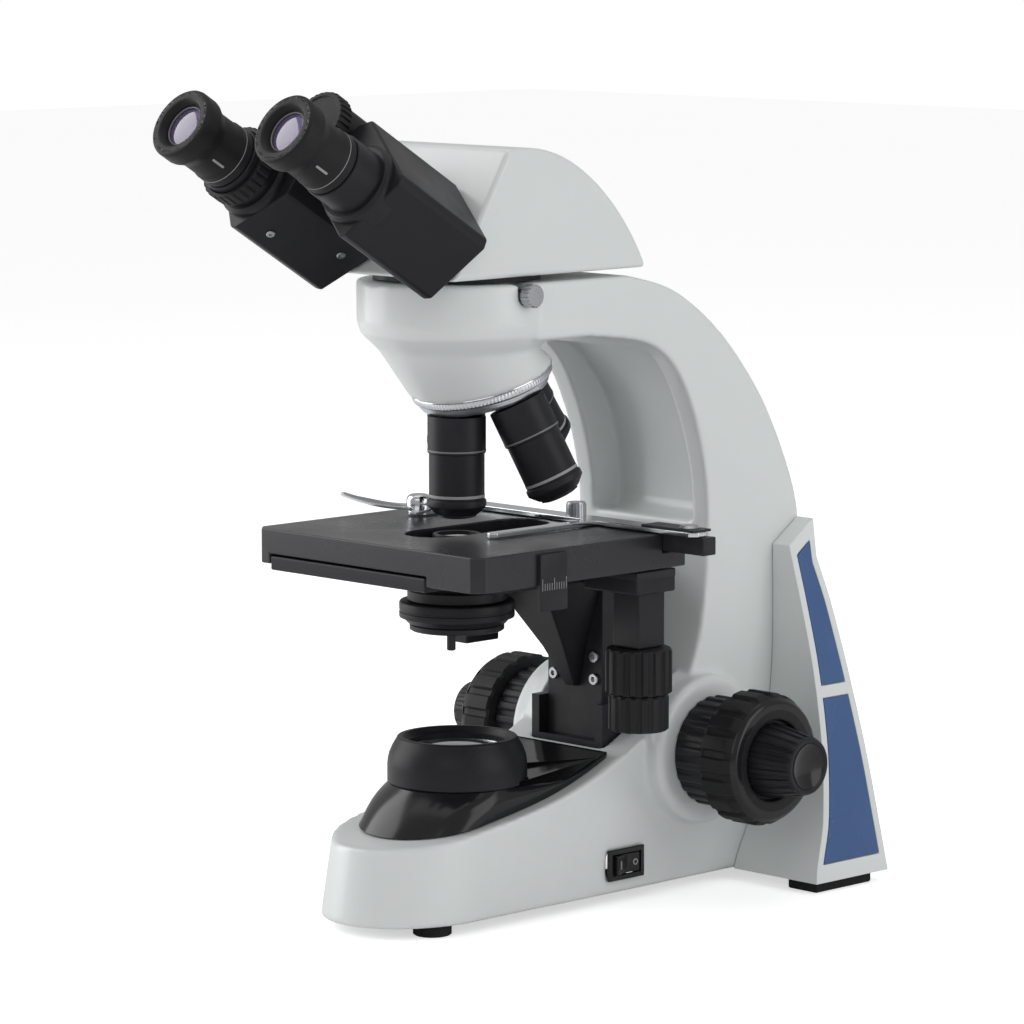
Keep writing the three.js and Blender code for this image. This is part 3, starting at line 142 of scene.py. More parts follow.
# %% Finish maker
def finish(name, colour, other, rough, metal=0.0, grain_size=900.0, patch=30.0, bump=0.00004,
           worn=None, coat=0.0, sheen=0.0, turned=False, gloss=0.5):
    material = bpy.data.materials.new(name)
    material.use_nodes = True
    tree = material.node_tree
    shader = tree.nodes["Principled BSDF"]
    shader.inputs["Metallic"].default_value = metal
    shader.inputs["Coat Weight"].default_value = coat
    shader.inputs["Coat Roughness"].default_value = 0.12
    shader.inputs["Sheen Weight"].default_value = sheen
    shader.inputs["Specular IOR Level"].default_value = gloss
    surface = tree.nodes.new("ShaderNodeGroup")
    surface.node_tree = grain
    surface.inputs["Grain"].default_value = grain_size
    surface.inputs["Patch"].default_value = patch
    mix = tree.nodes.new("ShaderNodeMix")
    mix.data_type = "RGBA"
    mix.inputs["A"].default_value = (*colour, 1)
    mix.inputs["B"].default_value = (*other, 1)
    polish = tree.nodes.new("ShaderNodeMapRange")
    polish.inputs["From Min"].default_value = 0.3
    polish.inputs["From Max"].default_value = 0.7
    polish.inputs["To Min"].default_value = rough[0]
    polish.inputs["To Max"].default_value = rough[1]
    raised = tree.nodes.new("ShaderNodeBump")
    raised.inputs["Strength"].default_value = 0.6
    raised.inputs["Distance"].default_value = bump
    join_nodes(tree, (surface.outputs["Slow"], mix.inputs["Factor"]),
        (surface.outputs["Slow"], polish.inputs["Value"]),
               (polish.outputs["Result"], shader.inputs["Roughness"]),
               (surface.outputs["Fine"], raised.inputs["Height"]),
                   (raised.outputs["Normal"], shader.inputs["Normal"]))
    colour_out = mix.outputs["Result"]
    if turned:
        lathe_marks = tree.nodes.new("ShaderNodeGroup")
        lathe_marks.node_tree = rings
        join_nodes(tree, (lathe_marks.outputs["Height"], raised.inputs["Height"]))
    if worn:
        rubbed = tree.nodes.new("ShaderNodeGroup")
        rubbed.node_tree = wear
        over = tree.nodes.new("ShaderNodeMix")
        over.data_type = "RGBA"
        over.inputs["B"].default_value = (*worn, 1)
        join_nodes(tree, (rubbed.outputs["Mask"], over.inputs["Factor"]), (colour_out, over.inputs["A"]))
        colour_out = over.outputs["Result"]
    join_nodes(tree, (colour_out, shader.inputs["Base Color"]))
    return material


# %% Finishes
ENAMEL = finish("white_enamel", (0.74, 0.77, 0.765), (0.70, 0.73, 0.725), (0.30, 0.40), grain_size=1500,
                bump=0.00002, coat=0.25)
PANEL_WHITE = finish("panel_white", (0.76, 0.79, 0.785), (0.72, 0.75, 0.745), (0.34, 0.44), grain_size=1800,
                     bump=0.00002)
SATIN_BLACK = finish("satin_black", (0.011, 0.011, 0.013), (0.017, 0.017, 0.020), (0.33, 0.46),
                     grain_size=2600, bump=0.00006, worn=(0.035, 0.035, 0.039), gloss=0.22)
GRIP_BLACK = finish("grip_black", (0.010, 0.010, 0.011), (0.016, 0.016, 0.018), (0.42, 0.58),
                    grain_size=3000, bump=0.00008, worn=(0.03, 0.03, 0.033), gloss=0.2)
GLOSS_BLACK = finish("gloss_black", (0.010, 0.010, 0.011), (0.013, 0.013, 0.015), (0.12, 0.22),
                     grain_size=900, bump=0.00001, coat=0.15, gloss=0.3)
STAGE_BLACK = finish("stage_black", (0.016, 0.016, 0.019), (0.022, 0.022, 0.026), (0.24, 0.34),
                     grain_size=2200, bump=0.00003, worn=(0.05, 0.05, 0.055), coat=0.05, gloss=0.35)
RUBBER = finish("foot_rubber", (0.012, 0.012, 0.013), (0.020, 0.020, 0.021), (0.7, 0.85), grain_size=1500,
                bump=0.0001, gloss=0.2)
CHROME = finish("bright_chrome", (0.72, 0.73, 0.75), (0.66, 0.67, 0.69), (0.10, 0.20), metal=1.0,
                grain_size=2000, bump=0.000004)
STEEL = finish("turned_steel", (0.50, 0.51, 0.53), (0.42, 0.43, 0.45), (0.24, 0.36), metal=1.0,
               bump=0.00002, turned=True)
SATIN_RING = finish("satin_nickel", (0.62, 0.64, 0.67), (0.54, 0.56, 0.59), (0.26, 0.36), metal=1.0,
                    grain_size=2500, bump=0.00001)
BRASS = finish("machined_brass", (0.58, 0.42, 0.17), (0.48, 0.34, 0.13), (0.25, 0.4), metal=1.0,
               bump=0.00002, turned=True)
BLUE = finish("blue_inlay", (0.050, 0.108, 0.262), (0.066, 0.130, 0.300), (0.22, 0.32), grain_size=1200,
              bump=0.00002, coat=0.1, gloss=0.4)
MARK_WHITE = finish("printed_white", (0.34, 0.34, 0.35), (0.28, 0.28, 0.29), (0.5, 0.6), grain_size=4000,
                    bump=0.00001)
MARK_GREY = finish("printed_grey", (0.20, 0.20, 0.21), (0.14, 0.14, 0.15), (0.4, 0.5), grain_size=4000,
                   bump=0.00001)
BOARD_GREEN = finish("board_green", (0.03, 0.15, 0.08), (0.04, 0.19, 0.10), (0.3, 0.45), grain_size=1400,
                     bump=0.00003)
SHEET_GREY = finish("sheet_grey", (0.28, 0.29, 0.30), (0.23, 0.24, 0.25), (0.35, 0.5), metal=0.8,
                    bump=0.00003)
print(len(bpy.data.materials), "finishes so far")

# %% [markdown]
# The lenses have a purple anti-reflection coating. Real glass over a dark barrel looks nearly black
# with a coloured sheen, so the glass lets only some light through and its colour is a deep violet
# that shifts from the middle to the rim.

# %% Coated glass
def coated_glass(name, middle, rim, clear):
    glass = bpy.data.materials.new(name)
    glass.use_nodes = True
    tree = glass.node_tree
    shader = tree.nodes["Principled BSDF"]
    shader.inputs["Roughness"].default_value = 0.04
    shader.inputs["IOR"].default_value = 1.52
    shader.inputs["Transmission Weight"].default_value = clear
    shader.inputs["Coat Weight"].default_value = 0.8
    shader.inputs["Coat Roughness"].default_value = 0.03
    sheen = tree.nodes.new("ShaderNodeLayerWeight")
    sheen.inputs["Blend"].default_value = 0.4
    surface = tree.nodes.new("ShaderNodeGroup")
    surface.node_tree = grain
    surface.inputs["Patch"].default_value = 60
    tint = tree.nodes.new("ShaderNodeMix")
    tint.data_type = "RGBA"
    tint.inputs["A"].default_value = (*middle, 1)
    tint.inputs["B"].default_value = (*rim, 1)
    smear = tree.nodes.new("ShaderNodeMapRange")
    smear.inputs["To Min"].default_value = 0.02
    smear.inputs["To Max"].default_value = 0.08
    join_nodes(tree, (sheen.outputs["Facing"], tint.inputs["Factor"]),
        (tint.outputs["Result"], shader.inputs["Base Color"]),
               (surface.outputs["Slow"], smear.inputs["Value"]),
                   (smear.outputs["Result"], shader.inputs["Roughness"]))
    return glass


EYE_GLASS = coated_glass("violet_eye_glass", (0.30, 0.24, 0.46), (0.10, 0.07, 0.16), 0.55)
LAMP_GLASS = coated_glass("lamp_glass", (0.52, 0.55, 0.58), (0.20, 0.21, 0.24), 0.75)
print("glass ready")

# %% [markdown]
# Most parts of a microscope are turned on a lathe or milled from plate, so two drawing helpers make
# nearly everything: a profile spun round an axis, with an optional ripple for grips, and an outline
# pushed up into a slab whose edges are then rounded. A ring-to-ring skin covers the rest.

# %% Drawing helpers: turned shapes
def spin(profile, sides=96, ripple=None):
    """A closed profile of (radius, z) or (radius, z, share of ripple) turned round the z axis."""
    drawn = bmesh.new()
    loops = []
    for point in profile:
        r, z = point[0], point[1]
        share = point[2] if len(point) > 2 else 0
        if r < 1e-6:
            loops.append([drawn.verts.new((0, 0, z))])
            continue
        ring = []
        for i in range(sides):
            angle = 2 * math.pi * i / sides
            rr = r + (share * ripple(angle) if ripple and share else 0)
            ring.append(drawn.verts.new((rr * math.cos(angle), rr * math.sin(angle), z)))
        loops.append(ring)
    for low, high in zip(loops, loops[1:] + loops[:1]):
        if len(low) == 1 and len(high) == 1:
            continue
        for i in range(sides):
            j = (i + 1) % sides
            if len(low) == 1:
                drawn.faces.new((low[0], high[j], high[i]))
            elif len(high) == 1:
                drawn.faces.new((low[i], low[j], high[0]))
            else:
                drawn.faces.new((low[i], low[j], high[j], high[i]))
    bmesh.ops.recalc_face_normals(drawn, faces=drawn.faces)
    return drawn


def grooves(count, depth, share=0.42, slope=0.12):
    """Straight grooves round a grip: each takes this share of its pitch, with sloping walls."""
    def ripple(angle):
        u = (angle * count / (2 * math.pi)) % 1.0
        inside = min(u, 1 - u)
        edge = share / 2
        t = max(0.0, min(1.0, (edge - inside) / slope + 0.5))
        return -depth * t * t * (3 - 2 * t)
    return ripple


# %% Drawing helpers: slabs, blocks and skins
def soften(drawn, width, steps=3, sharper_than=30):
    if width > 0:
        limit = math.radians(sharper_than)
        edges = [e for e in drawn.edges if len(e.link_faces) == 2 and e.calc_face_angle(0) > limit]
        bmesh.ops.bevel(drawn, geom=edges, offset=width, segments=steps, profile=0.5, affect="EDGES",
                        clamp_overlap=True)
    return drawn


def slab(outline, low, high, width=0.6, steps=3, axis="z"):
    """An outline pushed along an axis: (x, y) along z, or (y, z) along x."""
    drawn = bmesh.new()
    at = (lambda u, v, w: (u, v, w)) if axis == "z" else (lambda u, v, w: (w, u, v))
    bottom = [drawn.verts.new(at(u, v, low)) for u, v in outline]
    top = [drawn.verts.new(at(u, v, high)) for u, v in outline]
    drawn.faces.new(bottom)
    drawn.faces.new(top)
    for i in range(len(outline)):
        j = (i + 1) % len(outline)
        drawn.faces.new((bottom[i], bottom[j], top[j], top[i]))
    bmesh.ops.recalc_face_normals(drawn, faces=drawn.faces)
    return soften(drawn, width, steps)


def block(x0, x1, y0, y1, z0, z1, width=0.6, steps=3):
    return slab([(x0, y0), (x1, y0), (x1, y1), (x0, y1)], z0, z1, width, steps)


def skin(rings, width=0.0, capped=True):
    """A skin between rings of equally many points, closed at both ends."""
    drawn = bmesh.new()
    loops = [[drawn.verts.new(p) for p in ring] for ring in rings]
    n = len(loops[0])
    for low, high in zip(loops, loops[1:]):
        for i in range(n):
            j = (i + 1) % n
            drawn.faces.new((low[i], low[j], high[j], high[i]))
    if capped:
        drawn.faces.new(loops[0])
        drawn.faces.new(loops[-1])
    bmesh.ops.recalc_face_normals(drawn, faces=drawn.faces)
    return soften(drawn, width)


def moved(drawn, matrix):
    drawn.transform(matrix)
    return drawn


def together(*shapes):
    """Several closed shapes in one mesh."""
    whole = bmesh.new()
    for shape in shapes:
        sketch = bpy.data.meshes.new("part")
        shape.to_mesh(sketch)
        whole.from_mesh(sketch)
        bpy.data.meshes.remove(sketch)
        shape.free()
    return whole


def shift(x, y, z):
    return Matrix.Translation((x, y, z))


def turn(axis, degrees):
    return Matrix.Rotation(math.radians(degrees), 4, axis)


# %% [markdown]
# A finished drawing becomes a piece: it is scaled to metres, shaded smooth except at real edges,
# given its finish and told which body it moves with, and the CAD node it stands for is hidden.

# %% Piece maker
def to_object(name, drawn, material, sharp=38):
    mesh = bpy.data.meshes.new(name)
    bmesh.ops.remove_doubles(drawn, verts=drawn.verts, dist=1e-4)
    drawn.transform(Matrix.Translation((0, AXIS_Y, 0)) @ Matrix.Scale(MM, 4))
    drawn.to_mesh(mesh)
    drawn.free()
    mesh.shade_smooth()
    mesh.set_sharp_from_angle(angle=math.radians(sharp))
    mesh.materials.append(material)
    made = bpy.data.objects.new(name, mesh)
    bpy.context.scene.collection.objects.link(made)
    return made


def piece(name, drawn, material, body, stands_for=(), sharp=38):
    made = to_object(name, drawn, material, sharp)
    even = made.modifiers.new("even_shading", "WEIGHTED_NORMAL")
    even.keep_sharp = True
    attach(made, body)
    if stands_for:
        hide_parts(*([stands_for] if isinstance(stands_for, str) else stands_for))
    return made


def boolean(base, others, operation):
    """Cuts or joins drawings through Blender's exact boolean and gives the result as one drawing."""
    first = to_object("work", base, ENAMEL)
    tools = [to_object("tool", other, ENAMEL) for other in others]
    for tool in tools:
        step = first.modifiers.new("step", "BOOLEAN")
        step.operation = operation
        step.solver = "EXACT"
        step.object = tool
    graph = bpy.context.evaluated_depsgraph_get()
    result = bmesh.new()
    result.from_mesh(first.evaluated_get(graph).to_mesh())
    result.transform(Matrix.Scale(1 / MM, 4) @ Matrix.Translation((0, -AXIS_Y, 0)))
    for old in [first, *tools]:
        bpy.data.objects.remove(old)
    return result


print("helpers ready")

# %% [markdown]
# The camera stands about two metres away with a long lens, a little above the stage and off the front
# right corner, so the microscope keeps its true proportions. The floor is plain and pale. Two large
# soft lights stand left and right, a weaker one behind the camera and one above. White enamel is lost
# in front of white unless it is a little darker, so the surroundings look white but give less light
# than they show: the Light Path node tells what is seen from what is lit.

# %% Camera
bearing, height_angle = math.radians(45.437), math.radians(7.535)
toward_camera = Vector((math.sin(bearing) * math.cos(height_angle),
                        -math.cos(bearing) * math.cos(height_angle), math.sin(height_angle)))
camera_data = bpy.data.cameras.new("camera")
camera_data.lens = 166.05
camera_data.sensor_width = 36
camera_data.clip_end = 50
camera = bpy.data.objects.new("camera", camera_data)
camera.location = to_metres((1453.1, -1397.75, 442.66))
camera.rotation_euler = (-toward_camera).to_track_quat("-Z", "Y").to_euler()
bpy.context.scene.collection.objects.link(camera)
bpy.context.scene.camera = camera
print("camera", [round(v, 3) for v in camera.location])

# %% Floor
FLOOR_LIFT = 0.56


def floor_finish():
    material = bpy.data.materials.new("pale_floor")
    material.use_nodes = True
    tree = material.node_tree
    shader = tree.nodes["Principled BSDF"]
    surface = tree.nodes.new("ShaderNodeGroup")
    surface.node_tree = grain
    surface.inputs["Grain"].default_value = 60
    surface.inputs["Patch"].default_value = 2
    mix = tree.nodes.new("ShaderNodeMix")
    mix.data_type = "RGBA"
    mix.inputs["A"].default_value = (0.93, 0.93, 0.93, 1)
    mix.inputs["B"].default_value = (0.96, 0.96, 0.96, 1)
    path = tree.nodes.new("ShaderNodeLightPath")
    lift = tree.nodes.new("ShaderNodeMath")
    lift.operation = "MULTIPLY"
    lift.inputs[1].default_value = FLOOR_LIFT
    join_nodes(tree, (surface.outputs["Slow"], mix.inputs["Factor"]),
        (mix.outputs["Result"], shader.inputs["Base Color"]),
               (path.outputs["Is Camera Ray"], lift.inputs[0]),
                   (lift.outputs["Value"], shader.inputs["Emission Strength"]))
    shader.inputs["Emission Color"].default_value = (1, 1, 1, 1)
    shader.inputs["Roughness"].default_value = 0.9
    shader.inputs["Specular IOR Level"].default_value = 0.1
    return material


sheet = bmesh.new()
bmesh.ops.create_grid(sheet, x_segments=8, y_segments=8, size=6000)
floor = to_object("studio_floor", sheet, floor_finish())

# %% Lights and surroundings
def soft_light(name, where, size, power, aim=(0, 0, 170), shade=(1, 1, 1)):
    data = bpy.data.lights.new(name, "AREA")
    data.shape = "RECTANGLE"
    data.size, data.size_y = size
    data.energy = power
    data.color = shade
    lamp = bpy.data.objects.new(name, data)
    lamp.location = to_metres(where)
    lamp.rotation_euler = (to_metres(aim) - lamp.location).to_track_quat("-Z", "Y").to_euler()
    bpy.context.scene.collection.objects.link(lamp)


soft_light("left_window", (-1300, -650, 700), (1.2, 1.6), 16)
soft_light("right_window", (1500, 500, 650), (1.0, 1.6), 7.5)
soft_light("front_fill", (900, -1500, 900), (1.4, 1.0), 3)
soft_light("top_panel", (0, 0, 1600), (1.6, 1.6), 5)
world = bpy.data.worlds.new("studio")
bpy.context.scene.world = world
world.use_nodes = True
SURROUNDINGS = 0.42
background = world.node_tree.nodes["Background"]
background.inputs["Color"].default_value = (1, 1, 1, 1)
seen = world.node_tree.nodes.new("ShaderNodeLightPath")
strength = world.node_tree.nodes.new("ShaderNodeMapRange")
strength.inputs["To Min"].default_value = SURROUNDINGS
strength.inputs["To Max"].default_value = 1.0
join_nodes(world.node_tree, (seen.outputs["Is Camera Ray"], strength.inputs["Value"]),
           (strength.outputs["Result"], background.inputs["Strength"]))
bpy.context.scene.view_settings.view_transform = "Standard"
print("studio ready")

# %% [markdown]
# The stand is one aluminium casting: a boat-shaped base, a curved arm and a round front that tapers
# down to the nosepiece. A casting has soft inner and outer corners everywhere. The plain shapes are
# joined with booleans, remeshed into even small faces, and relaxed, which rounds every corner the way
# a mould and a coat of enamel do.

# %% Stand: sizes
FOOT, TOP = 5.0, 277.0
BASE_HALF, TOP_HALF = 36.5, 43.0
NOSE_Y, REAR_Y = -26.0, 180.0


def half_width(z):
    return BASE_HALF + (TOP_HALF - BASE_HALF) * (z - FOOT) / (TOP - FOOT)


def smooth_line(points, steps=8):
    """A curve through points, as the CAD's splines run."""
    out = []
    for i in range(len(points) - 1):
        p0, p1 = points[max(i - 1, 0)], points[i]
        p2, p3 = points[i + 1], points[min(i + 2, len(points) - 1)]
        for s in range(steps):
            t = s / steps
            out.append(tuple(
                0.5 * (2 * b + (c - a) * t + (2 * a - 5 * b + 4 * c - d) * t * t + (3 * b - a - 3 * c + d) * t ** 3)
                for a, b, c, d in zip(p0, p1, p2, p3)))
    return out + [points[-1]]


def bezier(p0, p1, p2, p3, steps=16):
    return [tuple((1 - t) ** 3 * a + 3 * (1 - t) ** 2 * t * b + 3 * (1 - t) * t * t * c + t ** 3 * d
                  for a, b, c, d in zip(p0, p1, p2, p3)) for t in [i / steps for i in range(steps + 1)]]


RIM = smooth_line([(-64.5, 38), (-19, 44), (26, 52), (60, 64), (92, 80)], 10)
ARM_BACK = smooth_line([(180, 45), (178, 130), (175, 165), (164, 193), (147, 221), (120, 250), (91, 269),
    (62, 277)])
ARM_FRONT = smooth_line([(40, 252), (70, 248), (86, 241), (97, 229), (106, 211), (112, 192), (115, 172),
                         (115, 140), (111, 110), (100, 88), (88, 76)])


def rim_height(y):
    for a, b in zip(RIM, RIM[1:]):
        if y <= b[0]:
            return a[1] + (b[1] - a[1]) * (y - a[0]) / (b[0] - a[0])
    return RIM[-1][1]


def boat(half, rear, steps=48):
    """Plan of the base: straight sides and a round nose."""
    curve = [(half * math.cos(a), NOSE_Y + half * math.sin(a))
             for a in [math.pi + math.pi * i / steps for i in range(steps + 1)]]
    return [(half, rear), (-half, rear)] + curve


def leaned(drawn):
    """Leans sides that were drawn at the stand's top width."""
    for v in drawn.verts:
        v.co.x *= half_width(v.co.z) / TOP_HALF
    return drawn


NOSE_DRAFT_START, NOSE_BACK, NOSE_NARROW, NOSE_TOP = 24.0, 5.5, 0.09, 38.0


def nose_drafted(drawn):
    """Slopes the round nose in towards its top."""
    reach = NOSE_DRAFT_START - NOSE_Y + BASE_HALF
    for v in drawn.verts:
        along = min(max((NOSE_DRAFT_START - v.co.y) / reach, 0), 1) ** 1.5
        up = min(max((v.co.z - FOOT) / (NOSE_TOP - FOOT), 0), 1)
        v.co.x *= 1 - NOSE_NARROW * along * up
        v.co.y += NOSE_BACK * along * up
    return drawn


print("stand is", TOP - FOOT, "mm high above its feet")

# %% Stand: plain shapes
base_side = [(-90, FOOT), (-90, 38)] + RIM + [(REAR_Y, 80), (REAR_Y, FOOT)]
base_shape = leaned(boolean(slab(base_side, -60, 60, 0, axis="x"),
    [slab(boat(TOP_HALF, REAR_Y), 0, 300, 0)],
                            "INTERSECT"))
base_hollow = slab(boat(BASE_HALF - 4, 91), -5, 33, 0)
base_shape = nose_drafted(boolean(base_shape, [base_hollow], "DIFFERENCE"))
arm_side = [(REAR_Y, 25)] + ARM_BACK + [(8, TOP), (8, 252)] + ARM_FRONT + [(88, 25)]
arm_shape = leaned(slab(arm_side, -TOP_HALF, TOP_HALF, 5.5, 4, axis="x"))

TILT = math.radians(18)
turret_out = Vector((0, math.cos(TILT), math.sin(TILT)))
turret_down = Vector((0, math.sin(TILT), -math.cos(TILT)))
turret_centre = Vector((0, 0, 218)) + turret_out * 18.5


def tilted_ring(centre, across, radius, steps=96):
    return [tuple(centre + Vector((1, 0, 0)) * radius * math.cos(a) + across * radius * math.sin(a))
            for a in [2 * math.pi * i / steps for i in range(steps)]]


level = Vector((0, 1, 0))
nose_levels = [(277, 43, 0), (259, 42.8, 0), (254, 41.2, 0), (250, 37.6, 0.5), (247, 34.6, 1)]
seat = turret_centre - turret_down * 10.5
nose_shape = skin([tilted_ring(Vector((0, s, z)), level, r) for z, r, s in nose_levels]
                  + [tilted_ring(seat, turret_out, 31.8)])
boss_profile = [(0, 0), (35, 0), (33, 8), (33, 15), (30.5, 17), (0, 17)]
bosses = [moved(spin(boss_profile), shift(side * 30, 111, 64) @ turn("Y", 90 * side)) for side in (1, -1)]
print("plain shapes drawn")

# %% Stand: hollows, then the casting
hollow_side = ([(60, 164), (126, 164)]
               + [(126 + 6 * math.cos(a),
                   170 + 6 * math.sin(a)) for a in [-math.pi / 2 + i * math.pi / 12 for i in range(7)]]
               + bezier((132, 170), (132, 200), (122, 226), (96, 243)) + [(60, 243)])
cuts = [
    slab(hollow_side, -30, 30, 3, axis="x"),
    boolean(slab(boat(BASE_HALF - 4, 91), -5, 33, 0), [block(-50, 50, NOSE_DRAFT_START, 111, -10, 40, 0)],
        "INTERSECT"),
    block(-26, 26, 88, 174, -5, 29, 2),
    spin([(0, 20), (22, 20), (22, 90), (0, 90)]),
    block(-22.3, 22.3, 67.2, 99.8, 59.7, 120, 0),
    block(-17.5, 17.5, 72, 100, 42, 120, 0),
    block(28, 46, 56, 76, 12, 24, 0),
    block(-14, 14, 164, 185, 29.5, 50.5, 0),
    moved(spin([(0, 0), (4.2, 0), (4.2, 20), (0, 20)], 32), shift(30, 0, 272) @ turn("Y", 90)),
    block(30, 50, -4.2, 4.2, 272, 280, 0),
]
solid = boolean(base_shape, [arm_shape, nose_shape, *bosses], "UNION")
casting = to_object("stand_body", boolean(solid, cuts, "DIFFERENCE"), ENAMEL, 80)
even = casting.modifiers.new("even_faces", "REMESH")
even.mode = "VOXEL"
even.voxel_size = 1.15 * MM
relax = casting.modifiers.new("soft_corners", "SMOOTH")
relax.factor = 0.5
relax.iterations = 7
graph = bpy.context.evaluated_depsgraph_get()
relaxed = bpy.data.meshes.new_from_object(casting.evaluated_get(graph))
casting.modifiers.clear()
casting.data = relaxed
relaxed.shade_smooth()
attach(casting, "stand")
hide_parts("stand_casting")
print("stand casting:", len(relaxed.polygons), "faces")

# %% [markdown]
# The lamp house is a glossy black moulding that lies on the rim of the base and rises to a round
# seat. The ring that holds the big lens stands on it. Its shape is a skin between the rim below and
# the circle above, slightly swelled on the way.

# %% Lamp cover
COVER_HALF, COVER_NOSE_Y, SEAT_RADIUS = 31.0, -16.0, 29.9


def lamp_cover():
    def at(share):
        ring = []
        runs = [60.5 - 4.75 * i for i in range(16)]
        outline = [(-COVER_HALF, y, -SEAT_RADIUS, max(y, 0)) for y in runs]
        for i in range(41):
            a = math.pi + math.pi * i / 40
            outline.append((COVER_HALF * math.cos(a), COVER_NOSE_Y + COVER_HALF * math.sin(a),
                            SEAT_RADIUS * math.cos(a), SEAT_RADIUS * math.sin(a)))
        outline += [(COVER_HALF, y, SEAT_RADIUS, max(y, 0)) for y in reversed(runs)]
        for x, y, tx, ty in outline:
            low = rim_height(y) + 0.3
            high = max(58.5, rim_height(ty) + 3, low + 1)
            bulge = math.sin(math.pi * share) * 1.2
            ring.append((x + (tx - x) * share + bulge * x / COVER_HALF, y + (ty - y) * share,
                low + (high - low) * share + bulge))
        return ring
    cover = skin([at(s / 10) for s in range(11)])
    return boolean(cover, [spin([(0, 20), (22, 20), (22, 90), (0, 90)])], "DIFFERENCE")


piece("lamp_house", lamp_cover(), GLOSS_BLACK, "stand", "lamp_cover", 30)

# %% Lens ring and lamp lens
ring_profile = [(21.5, 58.8), (30.0, 58.8), (30.4, 59.2), (30.4, 66.4), (30.2, 68.6), (29.5, 71.4),
    (28.3, 74.2),
                (26.9, 76.6), (26.4, 77.4), (26.2, 78.0), (25.8, 78.4), (25.0, 78.5), (23.8, 78.5),
                    (23.3, 78.1),
                (22.6, 76.4), (21.5, 75.6)]
piece("lens_ring", spin(ring_profile, 128), SATIN_BLACK, "stand", "collector_ring")
lens_profile = [(0, 66.5), (21, 66.5), (21, 70.6)] + [(21 * math.cos(a), 70.6 + 4.9 * math.sin(a)) for a in
                                                      [math.pi / 2 * i / 10 for i in range(1, 10)]] + [(0,
                                                          75.5)]
piece("lamp_lens", spin(lens_profile, 96), LAMP_GLASS, "stand", "field_lens")
piece("lens_retainer", spin([(20.6, 70.9), (21.4, 70.9), (21.4, 73.2), (21.0, 73.4), (20.6, 73.0)], 96),
    STEEL, "stand")

# %% [markdown]
# Under the base are a thin steel plate, the lamp on its heatsink, a small circuit board and four
# rubber feet. They are seldom seen, but they show from below.

# %% Base plate, lamp, board and feet
plate = boolean(slab(boat(32.2, 90.7), 5, 6.5, 0.3, 1),
                [spin([(0, 0), (1.2, 0), (1.2, 20), (0, 20)], 16) if i < 0 else
                 block(-12, 12, y - 1.3, y + 1.3, 0, 20, 0) for i,
                     y in enumerate((12, 18, 24, 66, 72, 78))], "DIFFERENCE")
piece("bottom_plate", plate, SHEET_GREY, "stand", "base_plate")
screws = [moved(spin([(0, 4.2), (2.4, 4.4), (3.0, 4.9), (3.0, 5.6), (0, 5.6)], 32), shift(x, y, 0))
          for x, y in ((-26, 0), (26, 0), (-26, 60), (26, 60), (0, -52))]
piece("plate_screws", together(*screws), STEEL, "stand")
heatsink = spin([(0, 6.8), (15, 6.8, 1), (15, 18.8, 1), (6.9, 18.8), (6.9, 21.8), (5.9, 23.8), (3.4, 25.4),
    (0, 25.8)], 240,
                grooves(20, 5, 0.5, 0.1))
piece("lamp_and_heatsink", heatsink, STEEL, "stand", "led_lamp")
board_parts = [block(-22, 22, 28, 58, 11.8, 13.4, 0.2), block(-12, 0, 36, 50, 12.6, 23.4, 0.6),
               block(5, 17, 34, 46, 12.6, 19.4, 0.6)]
board_parts += [moved(spin([(0, 6.8), (2.5, 6.8), (2.5, 12.2), (0, 12.2)], 24), shift(x, y, 0))
                for x, y in ((-18, 32), (18, 32), (-18, 54), (18, 54))]
piece("lamp_board", together(*board_parts), BOARD_GREEN, "stand", "driver_board")
foot_profile = [(0, 0.4), (3.4, 0.4), (3.8, 0), (7.6, 0), (8.3, 0.5), (8.3, 3.9), (7.9, 4.7), (0, 4.7)]
for side, name in ((1, "right"), (-1, "left")):
    piece("round_foot_" + name, moved(spin(foot_profile, 64), shift(23 * side, -37, 0)), RUBBER, "stand",
          "foot_front_" + name)
    pad = together(block(side * 75 - 8.7, side * 75 + 8.7, 140.5, 177.5, 0, 4.7, 1.2),
                   block(side * 75 - 6.5, side * 75 + 6.5, 143, 175, 3.6, 4.7, 0.3))
    piece("rear_pad_" + name, pad, RUBBER, "stand", "foot_rear_" + name)

# %% [markdown]
# Two tall panels stand behind the base like fins. Each is a white tapering box with a blue inlay in
# two lengths, framed by a narrow white border. The inlays lie in shallow pockets, so the border
# stands slightly proud of them.

# %% Rear panels
PANEL_TOP, PANEL_LIFT, PANEL_REACH, PANEL_LEAN = 151.0, 11.0, 87.0, 0.25
PANEL_LEVELS = [(FOOT, 137, 185), (30, 148, 185), (60, 155.5, 184.5), (95, 159, 182), (125, 158.8, 178.5),
                (PANEL_TOP, 157.6, 173.5)]
INLAY_MARGIN = 4.2


def panel_edges(z):
    """Front edge, rear edge and reach of a panel at height z, on smooth lines through its levels."""
    heights = [level[0] for level in PANEL_LEVELS]
    k = max(i for i, h in enumerate(heights[:-1]) if h <= z)
    t = (z - heights[k]) / (heights[k + 1] - heights[k])
    around = [PANEL_LEVELS[min(max(k + i, 0), len(heights) - 1)] for i in (-1, 0, 1, 2)]
    edges = []
    for axis in (1, 2):
        a, b, c, d = [level[axis] for level in around]
        edges.append(0.5 * (2 * b + (c - a) * t + (2 * a - 5 * b + 4 * c - d) * t * t + (3 * b - a - 3 * c + d) * t ** 3))
    return (*edges, PANEL_REACH - PANEL_LEAN * (z - FOOT))


def steps_between(low, high, count):
    return [low + (high - low) * i / count for i in range(count + 1)]


